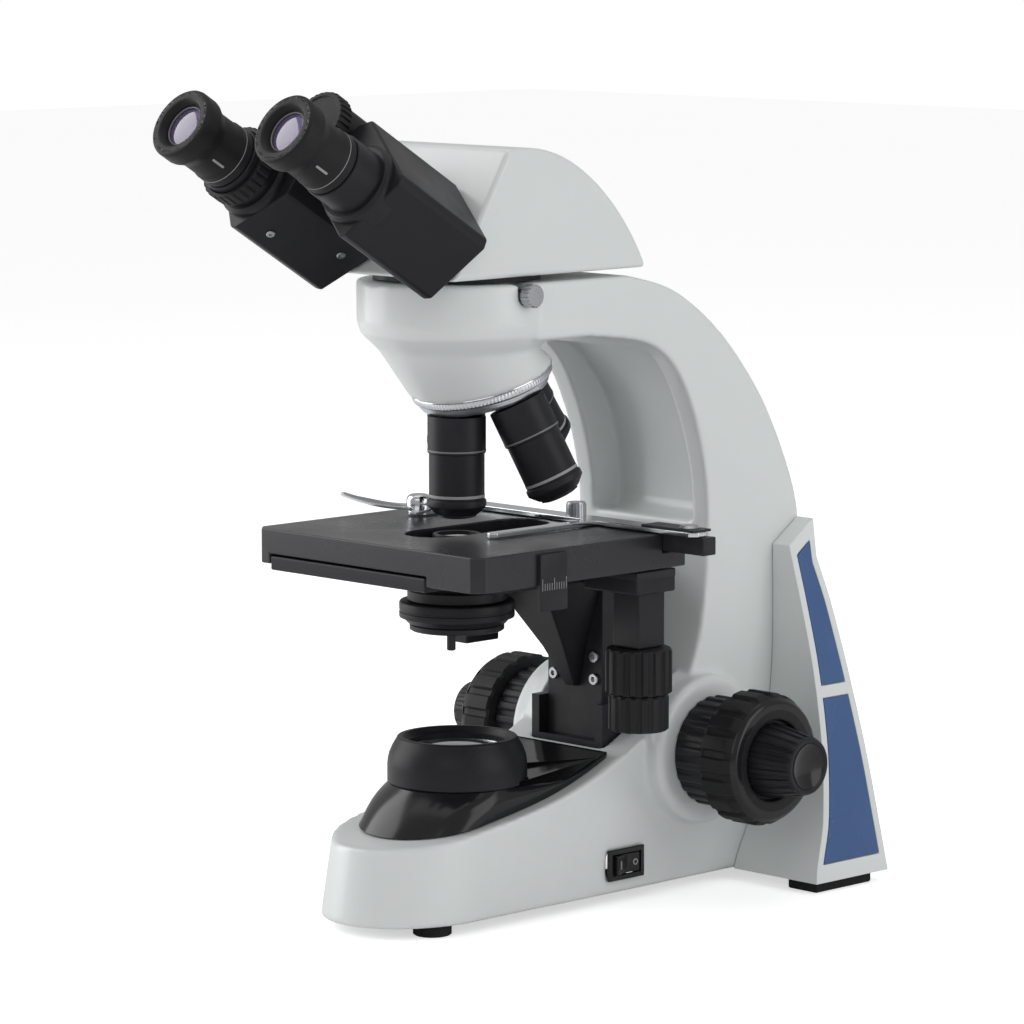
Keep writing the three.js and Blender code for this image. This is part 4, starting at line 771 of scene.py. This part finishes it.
def panel_shape(side):
    rings = []
    for z in steps_between(FOOT, PANEL_TOP, 24):
        front, rear, reach = panel_edges(z)
        lift = PANEL_LIFT * (z == PANEL_TOP)
        rings.append([(side * (half_width(z) + 0.3), front, z),
            (side * (half_width(z + lift) + 0.3), rear, z + lift),
                      (side * reach, rear, z + lift), (side * reach, front, z)])
    return skin(rings)


def inlay_shape(side, low, high, lift, growth):
    rings = []
    for z in steps_between(low - growth, high + growth, 14):
        front, rear, reach = panel_edges(z)
        front, rear = front + INLAY_MARGIN - growth, rear - INLAY_MARGIN + growth
        inner, outer = side * (reach - 0.9 - growth), side * (reach + 0.1 + growth)
        top = z + lift * (z == high + growth)
        rings.append([(inner, front, z), (inner, rear, top), (outer, rear, top), (outer, front, z)])
    return skin(rings)


SPANS = {"lower": (13, 83, 0), "upper": (89, 146, 6)}
for side, name in ((1, "right"), (-1, "left")):
    pockets = [inlay_shape(side, *span, 0.35) for span in SPANS.values()]
    shell = soften(boolean(panel_shape(side), pockets, "DIFFERENCE"), 1.3, 4, 32)
    piece("rear_fin_" + name, shell, PANEL_WHITE, "stand", "rear_panel_" + name)
    for place_name, span in SPANS.items():
        piece(f"blue_{place_name}_{name}", soften(inlay_shape(side, *span, 0), 0.25, 2, 32), BLUE, "stand",
              f"inlay_{place_name}_{name}")

# %% [markdown]
# The switch is a rocker in a thin frame on the right side, with two pale marks. The brightness dial
# is on the left, and the mains inlet is at the back, a flanged box round three prongs.

# %% Switch, dial and inlet
SWITCH_Y, SWITCH_Z = 66, 18
switch_x = half_width(25) + 0.3
frame_shape = boolean(block(switch_x - 0.2, switch_x + 1.6, SWITCH_Y - 11, SWITCH_Y + 11, SWITCH_Z - 7,
    SWITCH_Z + 7, 0.5),
                      [block(switch_x - 9, switch_x + 5, SWITCH_Y - 8.8, SWITCH_Y + 8.8, SWITCH_Z - 4.8,
                          SWITCH_Z + 4.8, 0)],
                      "DIFFERENCE")
piece("switch_frame", frame_shape, GLOSS_BLACK, "stand", "switch_bezel")
rocker_plan = [(-4.5, -6.4), (0, -8), (2.6, -7.8), (1.5, -3), (1.1, 0), (1.5, 3), (2.6, 7.8), (0, 8),
    (-4.5, 6.4)]
lean = shift(switch_x, SWITCH_Y, SWITCH_Z) @ turn("Z", 8)
rocker = moved(slab(rocker_plan, -4.3, 4.3, 0.4), lean)
piece("switch_rocker_cap", rocker, GLOSS_BLACK, "rocker", "switch_rocker")
bar = moved(block(-0.3, 0.25, -0.45, 0.45, -1.8, 1.8, 0.1, 2), shift(2.1, -5.3, 0) @ turn("Z", 13))
dot = moved(spin([(0.9, -0.2), (1.4, -0.2), (1.4, 0.25), (0.9, 0.25)], 40),
    shift(2.05, 5.2, 0) @ turn("Z", -13) @ turn("Y", 90))
piece("switch_marks", moved(together(bar, dot), lean), MARK_WHITE, "rocker")
dial_x = -(half_width(29) + 0.5)
dial = spin([(0, -14), (2.8, -14), (2.8, 0), (10.4, 0), (11, 0.6, 1), (10.6, 7.0, 1), (9.8, 8.0, 0.4),
    (8.6, 7.6), (0, 7.3)],
            240, grooves(24, 0.8))
piece("brightness_knob", moved(dial, shift(dial_x, SWITCH_Y, 20) @ turn("Y", -90)), SATIN_BLACK, "dimmer",
      "brightness_dial")
inlet_body = boolean(together(block(-13.7, 13.7, 166.3, 181, 29.8, 50.2, 0.3)),
                     [block(-11, 11, 169.3, 190, 33, 47, 0)], "DIFFERENCE")
flange = boolean(block(-16.7, 16.7, 180.3, 182.3, 27.8, 52.2, 0.8), [block(-11, 11, 150, 190, 33, 47, 0)],
    "DIFFERENCE")
piece("mains_inlet", together(inlet_body, flange), SATIN_BLACK, "stand", "power_inlet")
prongs = [block(x - 1, x + 1, 168.5, 179.0, 38, 42, 0.3) for x in (-6, 0, 6)]
piece("inlet_prongs", together(*prongs), CHROME, "stand")

# %% [markdown]
# The focus knobs are coaxial: a ridged collar next to the stand, the big coarse knob with broad
# flutes and a bevelled face, and the small fine knob with fine ridges and a glossy dished end.

# %% Focus knobs
def on_focus_axis(side, start):
    return shift(side * start, 111, 64) @ turn("Y", 90 * side)


collar_profile = [(7.5, 0), (23.6, 0), (24.5, 0.8, 1), (24.5, 17.2, 1), (23.4, 18.5), (7.5, 18.5)]
coarse_profile = [(7.3, 0), (27.8, 0), (29.4, 1.2, 0.5), (29.4, 2.4, 1), (29.4, 13.2, 1), (29.1, 14.6, 0.8),
                  (27.6, 17.2, 0.35), (26.2, 18.9), (25.0, 19.5), (19.2, 19.5), (18.2, 19.0), (17.4, 16.4),
                      (4.5, 16.0), (4.5, 8), (7.3, 8)]
fine_profile = [(4.3, 0.2), (16.2, 0.2), (16.5, 0.6, 0.3), (16.4, 2.2, 1), (13.4, 19.2, 1),
    (13.0, 20.8, 0.5), (12.5, 22.0),
                (11.9, 22.5), (10.9, 22.5), (10.2, 22.1), (8.6, 21.1), (5.0, 20.2), (0, 19.9), (0, 12),
                    (4.3, 12)]
for side, name, collar, body in ((1, "right", "tension_collar", "tension"),
    (-1, "left", "stop_collar", "stand")):
    piece("collar_" + name, moved(spin(collar_profile, 288, grooves(24, 0.9, 0.45)),
        on_focus_axis(side, 47.3)),
          SATIN_BLACK, body, collar)
    marks = [moved(block(-2.6, 2.6, -0.35, 0.35, -0.1, 0.25, 0.05, 1),
        turn("Z", a) @ shift(24.1, 0, 9) @ turn("Y", 90))
             for a in (118, 126, 134)]
    piece("collar_marks_" + name, moved(together(*marks), on_focus_axis(side, 47.3)), MARK_GREY, body)
    piece("coarse_grip_" + name, moved(spin(coarse_profile, 396, grooves(18, 1.5, 0.34, 0.10)),
        on_focus_axis(side, 66.1)),
          GRIP_BLACK, "coarse", "coarse_knob_" + name)
    piece("fine_grip_" + name, moved(spin(fine_profile, 384, grooves(20, 0.8, 0.5)),
        on_focus_axis(side, 82.6)),
          SATIN_BLACK, "fine", "fine_knob_" + name)
    bevel = [(19.4, 19.35), (24.9, 19.62), (26.25, 19.02), (27.5, 17.5), (27.2, 17.3), (24.8, 19.1),
        (19.4, 19.1)]
    piece("coarse_bevel_" + name, moved(spin(bevel, 192), on_focus_axis(side, 66.1)), GLOSS_BLACK, "coarse")
    cap = [(0, 20.35), (5.0, 20.55), (8.6, 21.4), (9.9, 22.2), (9.7, 21.9), (8.4, 21.0), (5.0, 20.1),
        (0, 19.8)]
    piece("fine_cap_" + name, moved(spin(cap, 96), on_focus_axis(side, 82.6)), GLOSS_BLACK, "fine")
print("knobs done")

# %% [markdown]
# The focus slide is mostly hidden: a fixed block and rail in the stand, and a column that the pinion
# lifts by its rack. Their CAD shapes are right, so they keep them and only get edges and a finish.

# %% Focus slide and shafts
def dress(node, material, width=0.4):
    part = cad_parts[node]
    part.data.materials.clear()
    part.data.materials.append(material)
    part.data.shade_flat()
    if width:
        edge = part.modifiers.new("edge", "BEVEL")
        edge.width = width * MM
        edge.segments = 2
        edge.limit_method = "ANGLE"
        edge.angle_limit = math.radians(40)


for node, material in (("focus_block", SATIN_BLACK), ("focus_guide", STEEL), ("focus_rack", BRASS)):
    dress(node, material, 0.3 if node != "focus_rack" else 0)
teeth = spin([(0, -3.5), (10.2, -3.5), (10.5, -3.2, 1), (10.5, 3.2, 1), (10.2, 3.5), (0, 3.5)], 256,
    grooves(16, 1.8, 0.5, 0.25))
sleeve = spin([(4.6, -73.1), (7, -73.1), (7, 73.1), (4.6, 73.1)], 64)
piece("pinion_and_sleeve", moved(together(teeth, sleeve), on_focus_axis(1, 0)), STEEL, "coarse",
    "focus_pinion")
piece("fine_spindle", moved(spin([(0, -93.6), (4, -93.6), (4, 93.6), (0, 93.6)], 48), on_focus_axis(1, 0)),
    STEEL, "fine",
      "fine_shaft")

# %% [markdown]
# The stage has two plates. The lower one is fixed to the focus column by a bracket with a tapering
# web. The upper one, the table, slides on it and hangs over it at the sides. A long slot lets the
# light through. The right side carries a vernier and the coaxial drive.

# %% Stage carrier
column = boolean(block(-17, 17, 72.5, 99.5, 66, 150.2, 0.5), [block(-10.5, 10.5, 91.5, 101, 65, 152, 0)],
    "DIFFERENCE")
web_rings = []
for half, front, z in ((17, 34, 145.2), (12.5, 46, 128), (7, 59, 110), (3, 69.5, 92)):
    web_rings.append([(-half, front, z), (-half, 73.5, z), (half, 73.5, z), (half, front, z)])
bracket = block(-34, 34, -8, 91.5, 144.2, 150.2, 0.8)
rail = block(-33, -25, 30, 50, 112.2, 145.2, 0.8)
lower_plate = block(-59.5, 37.5, -54.6, 66, 150.2, 156.4, 0.9)
hole = [spin([(0, 100), (26.5, 100), (26.5, 157.4), (0, 157.4)], 96)]
carrier = together(column, skin(web_rings, 0.8), boolean(bracket, hole, "DIFFERENCE"), rail)
piece("stage_bracket", carrier, SATIN_BLACK, "stage", "stage_carrier")
hole = [spin([(0, 100), (26.5, 100), (26.5, 157.4), (0, 157.4)], 96)]
piece("stage_lower_plate", boolean(lower_plate, hole, "DIFFERENCE"), SATIN_BLACK, "stage")


def cap_screw(radius, height, drive=0.5):
    """A round screw head with a hexagon socket."""
    head = spin([(0, 0), (radius, 0), (radius, height - 0.25), (radius - 0.25, height), (0, height)], 40)
    socket = slab([(radius * drive * math.cos(a), radius * drive * math.sin(a)) for a in
                   [i * math.pi / 3 for i in range(6)]], height * 0.35, height + 1, 0)
    return boolean(head, [socket], "DIFFERENCE")


# The screws on the column's foot face the user; the fixing screws sit under the bracket.
front_screws = [moved(cap_screw(2.6, 1.6), shift(x, 72.6, z) @ turn("X", 90)) for x,
    z in ((-12.5, 96), (12.5, 96), (12.5, 106))]
piece("column_screws", together(*front_screws), STEEL, "stage")
gib_screws = [moved(cap_screw(2.2, 1.5), shift(22, y, z) @ turn("Y", 90)) for y,
    z in ((78, 66), (90, 66), (78, 79), (90, 79))]
piece("gib_screws", together(*gib_screws), STEEL, "stand")

# %% Stage table
plan = [(-65.2, -54.6), (65.2, -54.6), (69.5, -50.3), (69.5, 70), (-69.5, 70), (-69.5, -50.3)]
slot_plan = ([(13 * math.cos(a),
    -13 + 13 * math.sin(a)) for a in [math.pi + math.pi * i / 24 for i in range(25)]]
             + [(13 * math.cos(a), 38 + 13 * math.sin(a)) for a in [math.pi * i / 24 for i in range(25)]])
table = boolean(slab(plan, 152.8, 168, 0), [
    block(-60, 38, -60, 75, 148, 157.2, 0), slab(slot_plan, 100, 200, 0),
    block(-75, 75, 55.5, 64.5, 159.9, 173, 0)], "DIFFERENCE")
piece("stage_table", soften(table, 0.7, 3, 40), STAGE_BLACK, "stage_y", "stage_top_plate")
piece("vernier_plate", block(69.3, 71.4, -20, -4, 142.1, 166.4, 0.4), SATIN_BLACK, "stage_y")
ticks = [block(71.3, 71.5, y - 0.12, y + 0.12, 151, 156 if i % 5 == 0 else 154, 0)
         for i, y in enumerate([-19 + 1.4 * k for k in range(11)])]
piece("vernier_ticks", together(*ticks), MARK_WHITE, "stage_y")
ruler = [block(x - 0.12, x + 0.12, 65.8, 69.2 if i % 5 == 0 else 67.8, 168.0, 168.1, 0)
         for i, x in enumerate([-50 + 2.5 * k for k in range(39)])]
piece("table_ruler", together(*ruler), MARK_GREY, "stage_y")

# %% [markdown]
# The slide holder is thin bright metal: a bar with one fixed finger, and a sprung finger that swings
# to clamp the glass. Both ride on a black carriage that runs in a groove at the back of the table.

# %% Slide holder
piece("holder_carriage", block(-42, 93, 56, 64, 160.4, 168.2, 0.6), SATIN_BLACK, "slide_x",
    "slide_carriage")
bar = [(-52, 22), (-52, 60), (-49, 63), (88, 63), (91, 60), (91, 55), (88, 52), (33, 52), (33, -8),
    (31, -10), (29, -10),
       (27, -8), (27, 49), (24, 52), (-42, 52), (-42, 22)]
bar += [(-47 + 5 * math.cos(a), 22 + 5 * math.sin(a)) for a in [-math.pi * i / 16 for i in range(1, 16)]]
piece("holder_bar", slab(bar, 168.5, 170.6, 0.35), CHROME, "slide_x", "slide_holder")
black_end = [(60, 51.9), (90.9, 51.9), (91, 63), (60, 63)]
piece("holder_end", slab(black_end, 170.5, 171.6, 0.3), SATIN_BLACK, "slide_x")
thumb = spin([(0, 170.0), (4.2, 170.0), (4.5, 170.4, 1), (4.5, 175.6, 1), (3.9, 176.6), (0, 176.7)], 160,
    grooves(20, 0.35))
end_screw = moved(spin([(0, 171.4), (4.0, 171.4), (4.4, 171.8), (3.6, 172.8), (0, 173.0)], 48),
    shift(83, 58, 0))
piece("holder_screws", together(moved(thumb, shift(15, 58, 0)), end_screw), STEEL, "slide_x")
sweep = (bezier((-34, -13), (-22, -10.3), (-12.3, -5), (-5, 3), 14) + bezier((5, 4), (10.3, -1.3),
    (14.3, -8.7), (17, -18), 14)
         + bezier((14, -19), (10, -12.3), (5.3, -8), (0, -6), 10) + bezier((0, -6), (-8, -11.3),
             (-19.3, -14.7), (-34, -16), 12)[1:])
lever = moved(slab(sweep, 171.05, 172.6, 0.3, 2), shift(-47, 22, 0))
TIP_START_X, TIP_REACH, TIP_RISE = -52, 29, 4.0
for v in lever.verts:
    v.co.z += TIP_RISE * (max(0, TIP_START_X - v.co.x) / TIP_REACH) ** 1.6
hub = spin([(0, 171.0), (5.2, 171.0), (5.5, 171.4), (5.5, 175.2), (5.0, 176.6), (3.8, 177.5), (0, 177.5)],
    64)
piece("spring_lever", together(lever, moved(hub, shift(-47, 22, 0))), CHROME, "spring", "spring_finger")

# %% Stage drive
housing = together(block(35, 67.5, 42, 66, 142, 149.4, 1.0), block(38.5, 67.5, 42, 66, 148.2, 152, 0.6),
                   block(48, 64, 47, 63, 117.8, 143, 0.8))
piece("drive_housing", housing, SATIN_BLACK, "stage", "stage_drive_housing")
upper = spin([(3.5, 97.5), (13.4, 97.5), (14.6, 98.3, 1), (14.6, 116.0, 1), (13.8, 117.1), (12.8, 117.5),
    (3.5, 117.5)], 320,
             grooves(16, 1.0, 0.5))
piece("table_knob", moved(upper, shift(56, 55, 0)), GRIP_BLACK, "y_knob", "stage_y_knob")
lower = spin([(0, 81.4), (9.6, 81.2), (12.2, 81.3), (13.2, 82.1, 1), (13.2, 96.0, 1), (12.4, 97.0),
    (3, 97.2), (3, 114), (0, 114)], 320,
             grooves(16, 0.6, 0.4))
piece("slide_knob", moved(lower, shift(56, 55, 0)), GRIP_BLACK, "x_knob", "stage_x_knob")
print("stage done")

# %% [markdown]
# The condenser hangs under the stage in a ring on a small slide. It is a drum with a narrower neck
# and a cone that reaches up into the slot, with a lens on top and the iris lever below.

# %% Condenser
holder = boolean(together(spin([(17.3, 138.3), (21.2, 138.3), (21.5, 138.6), (21.5, 142.5), (21.2, 142.8),
    (17.3, 142.8)], 96)),
                 [block(-24.5, -18.5, 10, 30, 138.3, 142.8, 0)], "UNION")
slider = together(block(-24.4, -18, 2, 46, 138.4, 142.7, 0.5), block(-24.4, -18, 34, 46, 124, 140, 0.6))
piece("condenser_ring", together(holder, slider), SATIN_BLACK, "condenser", "condenser_holder")
drum = [(9, 128), (20.6, 128), (21.4, 128.4), (23, 130.2), (24.8, 130.8), (25, 131.2), (25, 133.2),
    (24.7, 133.5), (24.7, 134.0),
        (25, 134.3), (25, 137), (24.6, 137.7), (23.6, 138), (17, 138), (17, 150.4), (16.4, 151.4),
            (12.6, 155.2), (12, 156), (10.6, 166),
        (10.3, 166.8), (8.6, 166.8), (8.4, 166.5), (8.4, 162), (9, 161)]
piece("condenser_drum", spin(drum, 128), SATIN_BLACK, "condenser", "condenser_body")
front_lens = [(0, 163), (8.2, 163), (8.2, 165.2)] + [(8.2 * math.cos(a), 165.2 + 0.9 * math.sin(a))
                                                    for a in [math.pi / 2 * i / 8 for i in range(1,
                                                        8)]] + [(0, 166.1)]
piece("condenser_lens", spin(front_lens, 64), LAMP_GLASS, "condenser")
iris = together(spin([(10, 125), (19.8, 125), (20.5, 125.5), (20.5, 127.4), (20.2, 127.7), (10, 127.7)],
    96),
                moved(spin([(0, 118.5), (1.5, 118.5), (1.9, 118.9), (1.9, 125.8), (0, 125.8)], 32),
                    shift(10.5, -13.5, 0)))
piece("iris_lever", iris, SATIN_BLACK, "iris", "iris_ring")
knob = spin([(0, -4), (3, -4), (3, 0), (8.8, 0), (9.5, 0.6, 1), (9.5, 8.2, 1), (8.7, 9), (0, 9)], 192,
    grooves(16, 0.8))
piece("condenser_grip", moved(knob, shift(-37.5, 40, 132.2) @ turn("Y", -90)), GRIP_BLACK,
    "condenser_drive",
      "condenser_knob")
print("condenser done")

# %% [markdown]
# The nosepiece is a tilted turret that holds four objectives, so that the one in use stands upright.
# Its rim is satin metal with a fine grip; the objectives are black barrels with printed bands, a
# pale ring near the tip and a bevelled nose with a small bright lens.

# %% Nosepiece
nosepiece = Matrix.Translation(turret_centre) @ turn("X", 18)


def seat_height(r):
    return math.tan(TILT) * (r - 18.5)


rim_profile = [(20, seat_height(20) + 0.2), (28.2, seat_height(28.2)), (28.8, seat_height(28.8) + 0.8),
    (29.0, 4.6), (29.4, 6.4),
               (30.4, 7.0), (31, 7.5, 1), (31, 9.3, 1), (30.5, 10), (20, 10)]
core = [(0, seat_height(0)), (20.2, seat_height(20.2)), (20.2, 9.6), (0, 9.6)]
piece("turret_rim", moved(spin(rim_profile, 480, grooves(120, 0.35, 0.5, 0.3)), nosepiece), SATIN_RING,
    "turret", "nosepiece_turret")
piece("turret_disc", moved(spin(core, 96), nosepiece), SATIN_BLACK, "turret")
bead = [(30.9, 10.2), (31.3, 10.2), (31.5, 10.5), (31.3, 10.9), (30.9, 10.9)]
piece("seat_bead", moved(spin(bead, 128), nosepiece), CHROME, "stand")

# %% Objectives
LENGTHS = {"40x": 44.5, "100x": 45.2, "10x": 36.0, "4x": 29.0}


def barrel(length):
    top, foot = -0.3, -length
    return [(3, top), (12.4, top), (12.6, top - 0.3), (12.6, -length * 0.36), (12.2, -length * 0.365),
        (12.0, -length * 0.37),
            (12.0, foot + 8.6), (12.5, foot + 8.2), (12.8, foot + 7.8), (12.8, foot + 5.6),
                (12.5, foot + 5.2), (9.4, foot + 2.0),
            (8.4, foot + 1.6), (8.4, foot + 0.9), (6.2, foot + 0.2), (5, foot), (3.4, foot),
                (3, foot + 0.8)]


def print_rows(length):
    """Two short rows of plain strokes, as a maker's printed data would look from afar."""
    rows = []
    for row, (z, strokes) in enumerate(((-length * 0.47, 7), (-length * 0.58, 9))):
        for i in range(strokes):
            if (i * 5 + row * 3) % 7 == 0:
                continue
            angle = (i - strokes / 2) * 7.5
            stroke = block(-0.9, 0.9, -0.55 + 0.25 * ((i + row) % 2), 0.55, -0.05, 0.12, 0)
            rows.append(moved(stroke, turn("Z", angle) @ shift(12.0, 0, z) @ turn("Y", 90) @ turn("Z", 90)))
    return rows


for i, (power, length) in enumerate(LENGTHS.items()):
    hang = nosepiece @ turn("Z", -90 + 90 * i) @ shift(18.5, 0, 0) @ turn("Y", -18)
    piece("barrel_" + power, moved(spin(barrel(length), 96), hang), SATIN_BLACK, "turret",
        "objective_" + power)
    band = spin([(12.0, -length + 9.3), (12.12, -length + 9.3), (12.12, -length + 10.5),
        (12.0, -length + 10.5)], 96)
    piece("pale_band_" + power, moved(band, hang), MARK_WHITE, "turret")
    collar_band = spin([(12.6, -length * 0.33), (12.7, -length * 0.33), (12.7, -length * 0.345),
        (12.6, -length * 0.345)], 96)
    piece("collar_band_" + power, moved(collar_band, hang), MARK_GREY, "turret")
    piece("data_" + power, moved(together(*print_rows(length)), hang @ turn("Z", 200 - 90 * i)), MARK_GREY,
        "turret")
    tip_lens = [(0, -length + 0.6), (3.2, -length + 0.6), (3.0, -length + 0.4), (1.6, -length + 0.15),
        (0, -length + 0.1), (0, -length + 0.4)]
    piece("tip_lens_" + power, moved(spin(tip_lens[:5], 48), hang), EYE_GLASS, "turret")
print("four objectives")

# %% [markdown]
# The head sits on a round dovetail, held by a lock screw in the stand's side. Its white cover is a
# faceted casting whose front leans back to meet the two prism housings, which swing on one hinge to
# set the distance between the eyes.

# %% Head
mount = spin([(20, 277.3), (36, 277.3), (36, 279.7), (20, 279.7)], 96)
piece("head_dovetail", mount, SATIN_BLACK, "stand", "head_mount")
lock = spin([(0, -11), (2.6, -11), (2.6, 0), (4.6, 0), (5, 0.4, 1), (5, 4.4, 1), (4.4, 5), (0, 5)], 128,
    grooves(16, 0.4))
piece("lock_screw", moved(lock, shift(43.5, 0, 272) @ turn("Y", 90)), STEEL, "head_screw",
    "head_lock_screw")
HINGE_Y, HINGE_Z, TUBE_LEAN = -24, 313, 31
up_y, up_z = math.sin(math.radians(TUBE_LEAN)), math.cos(math.radians(TUBE_LEAN))


def front_at(z):
    return HINGE_Y + (z - HINGE_Z) * up_y / up_z


head_side = ([(front_at(280) + 1, 280)] + bezier((73, 280), (63, 302), (36, 332), (4, 334),
    20) + [(front_at(334) + 1, 334)])
shell = slab(head_side, -43, 43, 4.6, 5, axis="x")
cover = boolean(shell, [spin([(0, 270), (19, 270), (19, 305), (0, 305)], 64)], "DIFFERENCE")
piece("head_cover", cover, ENAMEL, "head", "head_housing", 30)

# %% Prism housings and the hinge between them
binocular = shift(0, HINGE_Y, HINGE_Z) @ turn("X", 90 - TUBE_LEAN)
DROOP = math.radians(37.5)
LENGTH, REACH, DEPTH, EYE_ARM = 57.6, 57, 18.5, 40


def across(side, u, w):
    return (side * (u * math.cos(DROOP) + w * math.sin(DROOP)), -u * math.sin(DROOP) + w * math.cos(DROOP))


hinge_bar = spin([(0, 0), (12.2, 0), (12.2, 58.4), (13.2, 58.8), (14.2, 59.8, 1), (14.2, 64.6, 1),
    (13.4, 66.1, 0.4), (11.8, 66.1),
                  (11.2, 65.6), (0, 65.4)], 256, grooves(32, 0.7, 0.4))
piece("eye_distance_dial", moved(hinge_bar, binocular), GRIP_BLACK, "head", "interpupillary_dial")
dial_ticks = [moved(block(-0.12, 0.12, 11.3, 12.6, 65.5, 65.75, 0), turn("Z", a)) for a in range(-60, 61,
    12)]
piece("dial_ticks", moved(together(*dial_ticks), binocular), MARK_WHITE, "head")


def housing_shape(side):
    w = DEPTH
    outline = [across(side, *p) for p in ((10.2, -4), (26, -w), (REACH - 3, -w), (REACH, -w + 3),
        (REACH, w - 3), (REACH - 3, w),
                                          (14, w), (10.2, w - 6))]
    shell = slab(outline, 0.5, LENGTH - 0.5, 1.1, 3)
    x, y = across(side, EYE_ARM, 0)
    bore = [spin([(0, -10), (12.7, -10), (12.7, 100), (0, 100)], 96)]
    tube = [(0, 50), (17.8, 50), (17.8, LENGTH + 1.2), (17.5, LENGTH + 1.9), (16.2, LENGTH + 3),
        (14.6, LENGTH + 3), (14.5, LENGTH + 3.2),
            (14.5, 74.6), (14.1, 75), (0, 75)]
    return boolean(shell, bore, "DIFFERENCE"), moved(spin(tube, 96), shift(x, y, 0))


eyecup = [(11, 75.3), (13.4, 75.3), (13.7, 75.6), (13.7, 82), (13.2, 83), (13.2, 91.5), (13.5, 93.2),
    (14.4, 95.4), (15.3, 97.2),
          (15.6, 98.4), (15.6, 104.4), (15.4, 105.2), (14.9, 105.8), (14.2, 106), (12.0, 106),
              (11.4, 105.8), (10.6, 105.4), (9.6, 103.8),
          (9, 103), (9, 98), (11, 96)]
eye_lens = [(0, 99), (8.9, 99), (8.9, 101.6)] + [(8.9 * math.cos(a), 101.6 + 1.4 * math.sin(a))
                                                for a in [math.pi / 2 * i / 10 for i in range(1,
                                                    10)]] + [(0, 103)]
for side, name in ((1, "right"), (-1, "left")):
    body = "prism_" + name
    x, y = across(side, EYE_ARM, 0)
    eye = binocular @ shift(x, y, 0)
    box_part, tube_part = housing_shape(side)
    piece("prism_box_" + name, moved(box_part, binocular), SATIN_BLACK, body, "prism_housing_" + name,
        30)
    piece("eye_tube_" + name, moved(tube_part, binocular), SATIN_BLACK, body)
    piece("eyecup_" + name, moved(spin(eyecup, 128), eye), GRIP_BLACK, body, "eyepiece_" + name)
    piece("eye_glass_" + name, moved(spin(eye_lens, 96), eye), EYE_GLASS, body, "eye_lens_" + name)
    inner = spin([(8.7, 102.0), (9.4, 102.6), (10.2, 104.2), (10.0, 104.4), (9.2, 103.0), (8.6, 102.6)], 96)
    piece("lens_rim_" + name, moved(inner, eye), MARK_GREY, body)
    lip = spin([(13.2, 105.9), (14.2, 105.9), (14.2, 106.0), (13.2, 106.0)], 96)
    piece("cup_edge_" + name, moved(lip, eye), GLOSS_BLACK, body)
    index = moved(block(-0.5, 0.5, -3.4, 3.4, -0.1, 0.12, 0),
        turn("Z", -40) @ shift(13.2, 0, 87) @ turn("Y", 90) @ turn("Z", 90))
    ring_line = spin([(13.7, 79.2), (13.78, 79.2), (13.78, 79.5), (13.7, 79.5)], 96)
    piece("eyepiece_marks_" + name, moved(together(index, ring_line), eye), MARK_WHITE, body)
    screws = [moved(cap_screw(1.9, 0.9), binocular @ Matrix.Translation((*across(side, u, -DEPTH), t))
                    @ turn("Z", (-37.5 if side > 0 else 37.5)) @ turn("X", 90)) for u,
                        t in ((34, 12), (46, 44))]
    piece("housing_screws_" + name, together(*screws), STEEL, body)
ring_at = binocular @ shift(*across(-1, EYE_ARM, 0), 65)
dioptre = spin([(15, 0), (16.5, 0), (17, 0.5, 1), (17, 6.4, 1), (16.4, 7), (15, 7)], 240, grooves(30, 0.5))
piece("dioptre_grip", moved(dioptre, ring_at), GRIP_BLACK, "dioptre", "dioptre_ring")
print("head done")
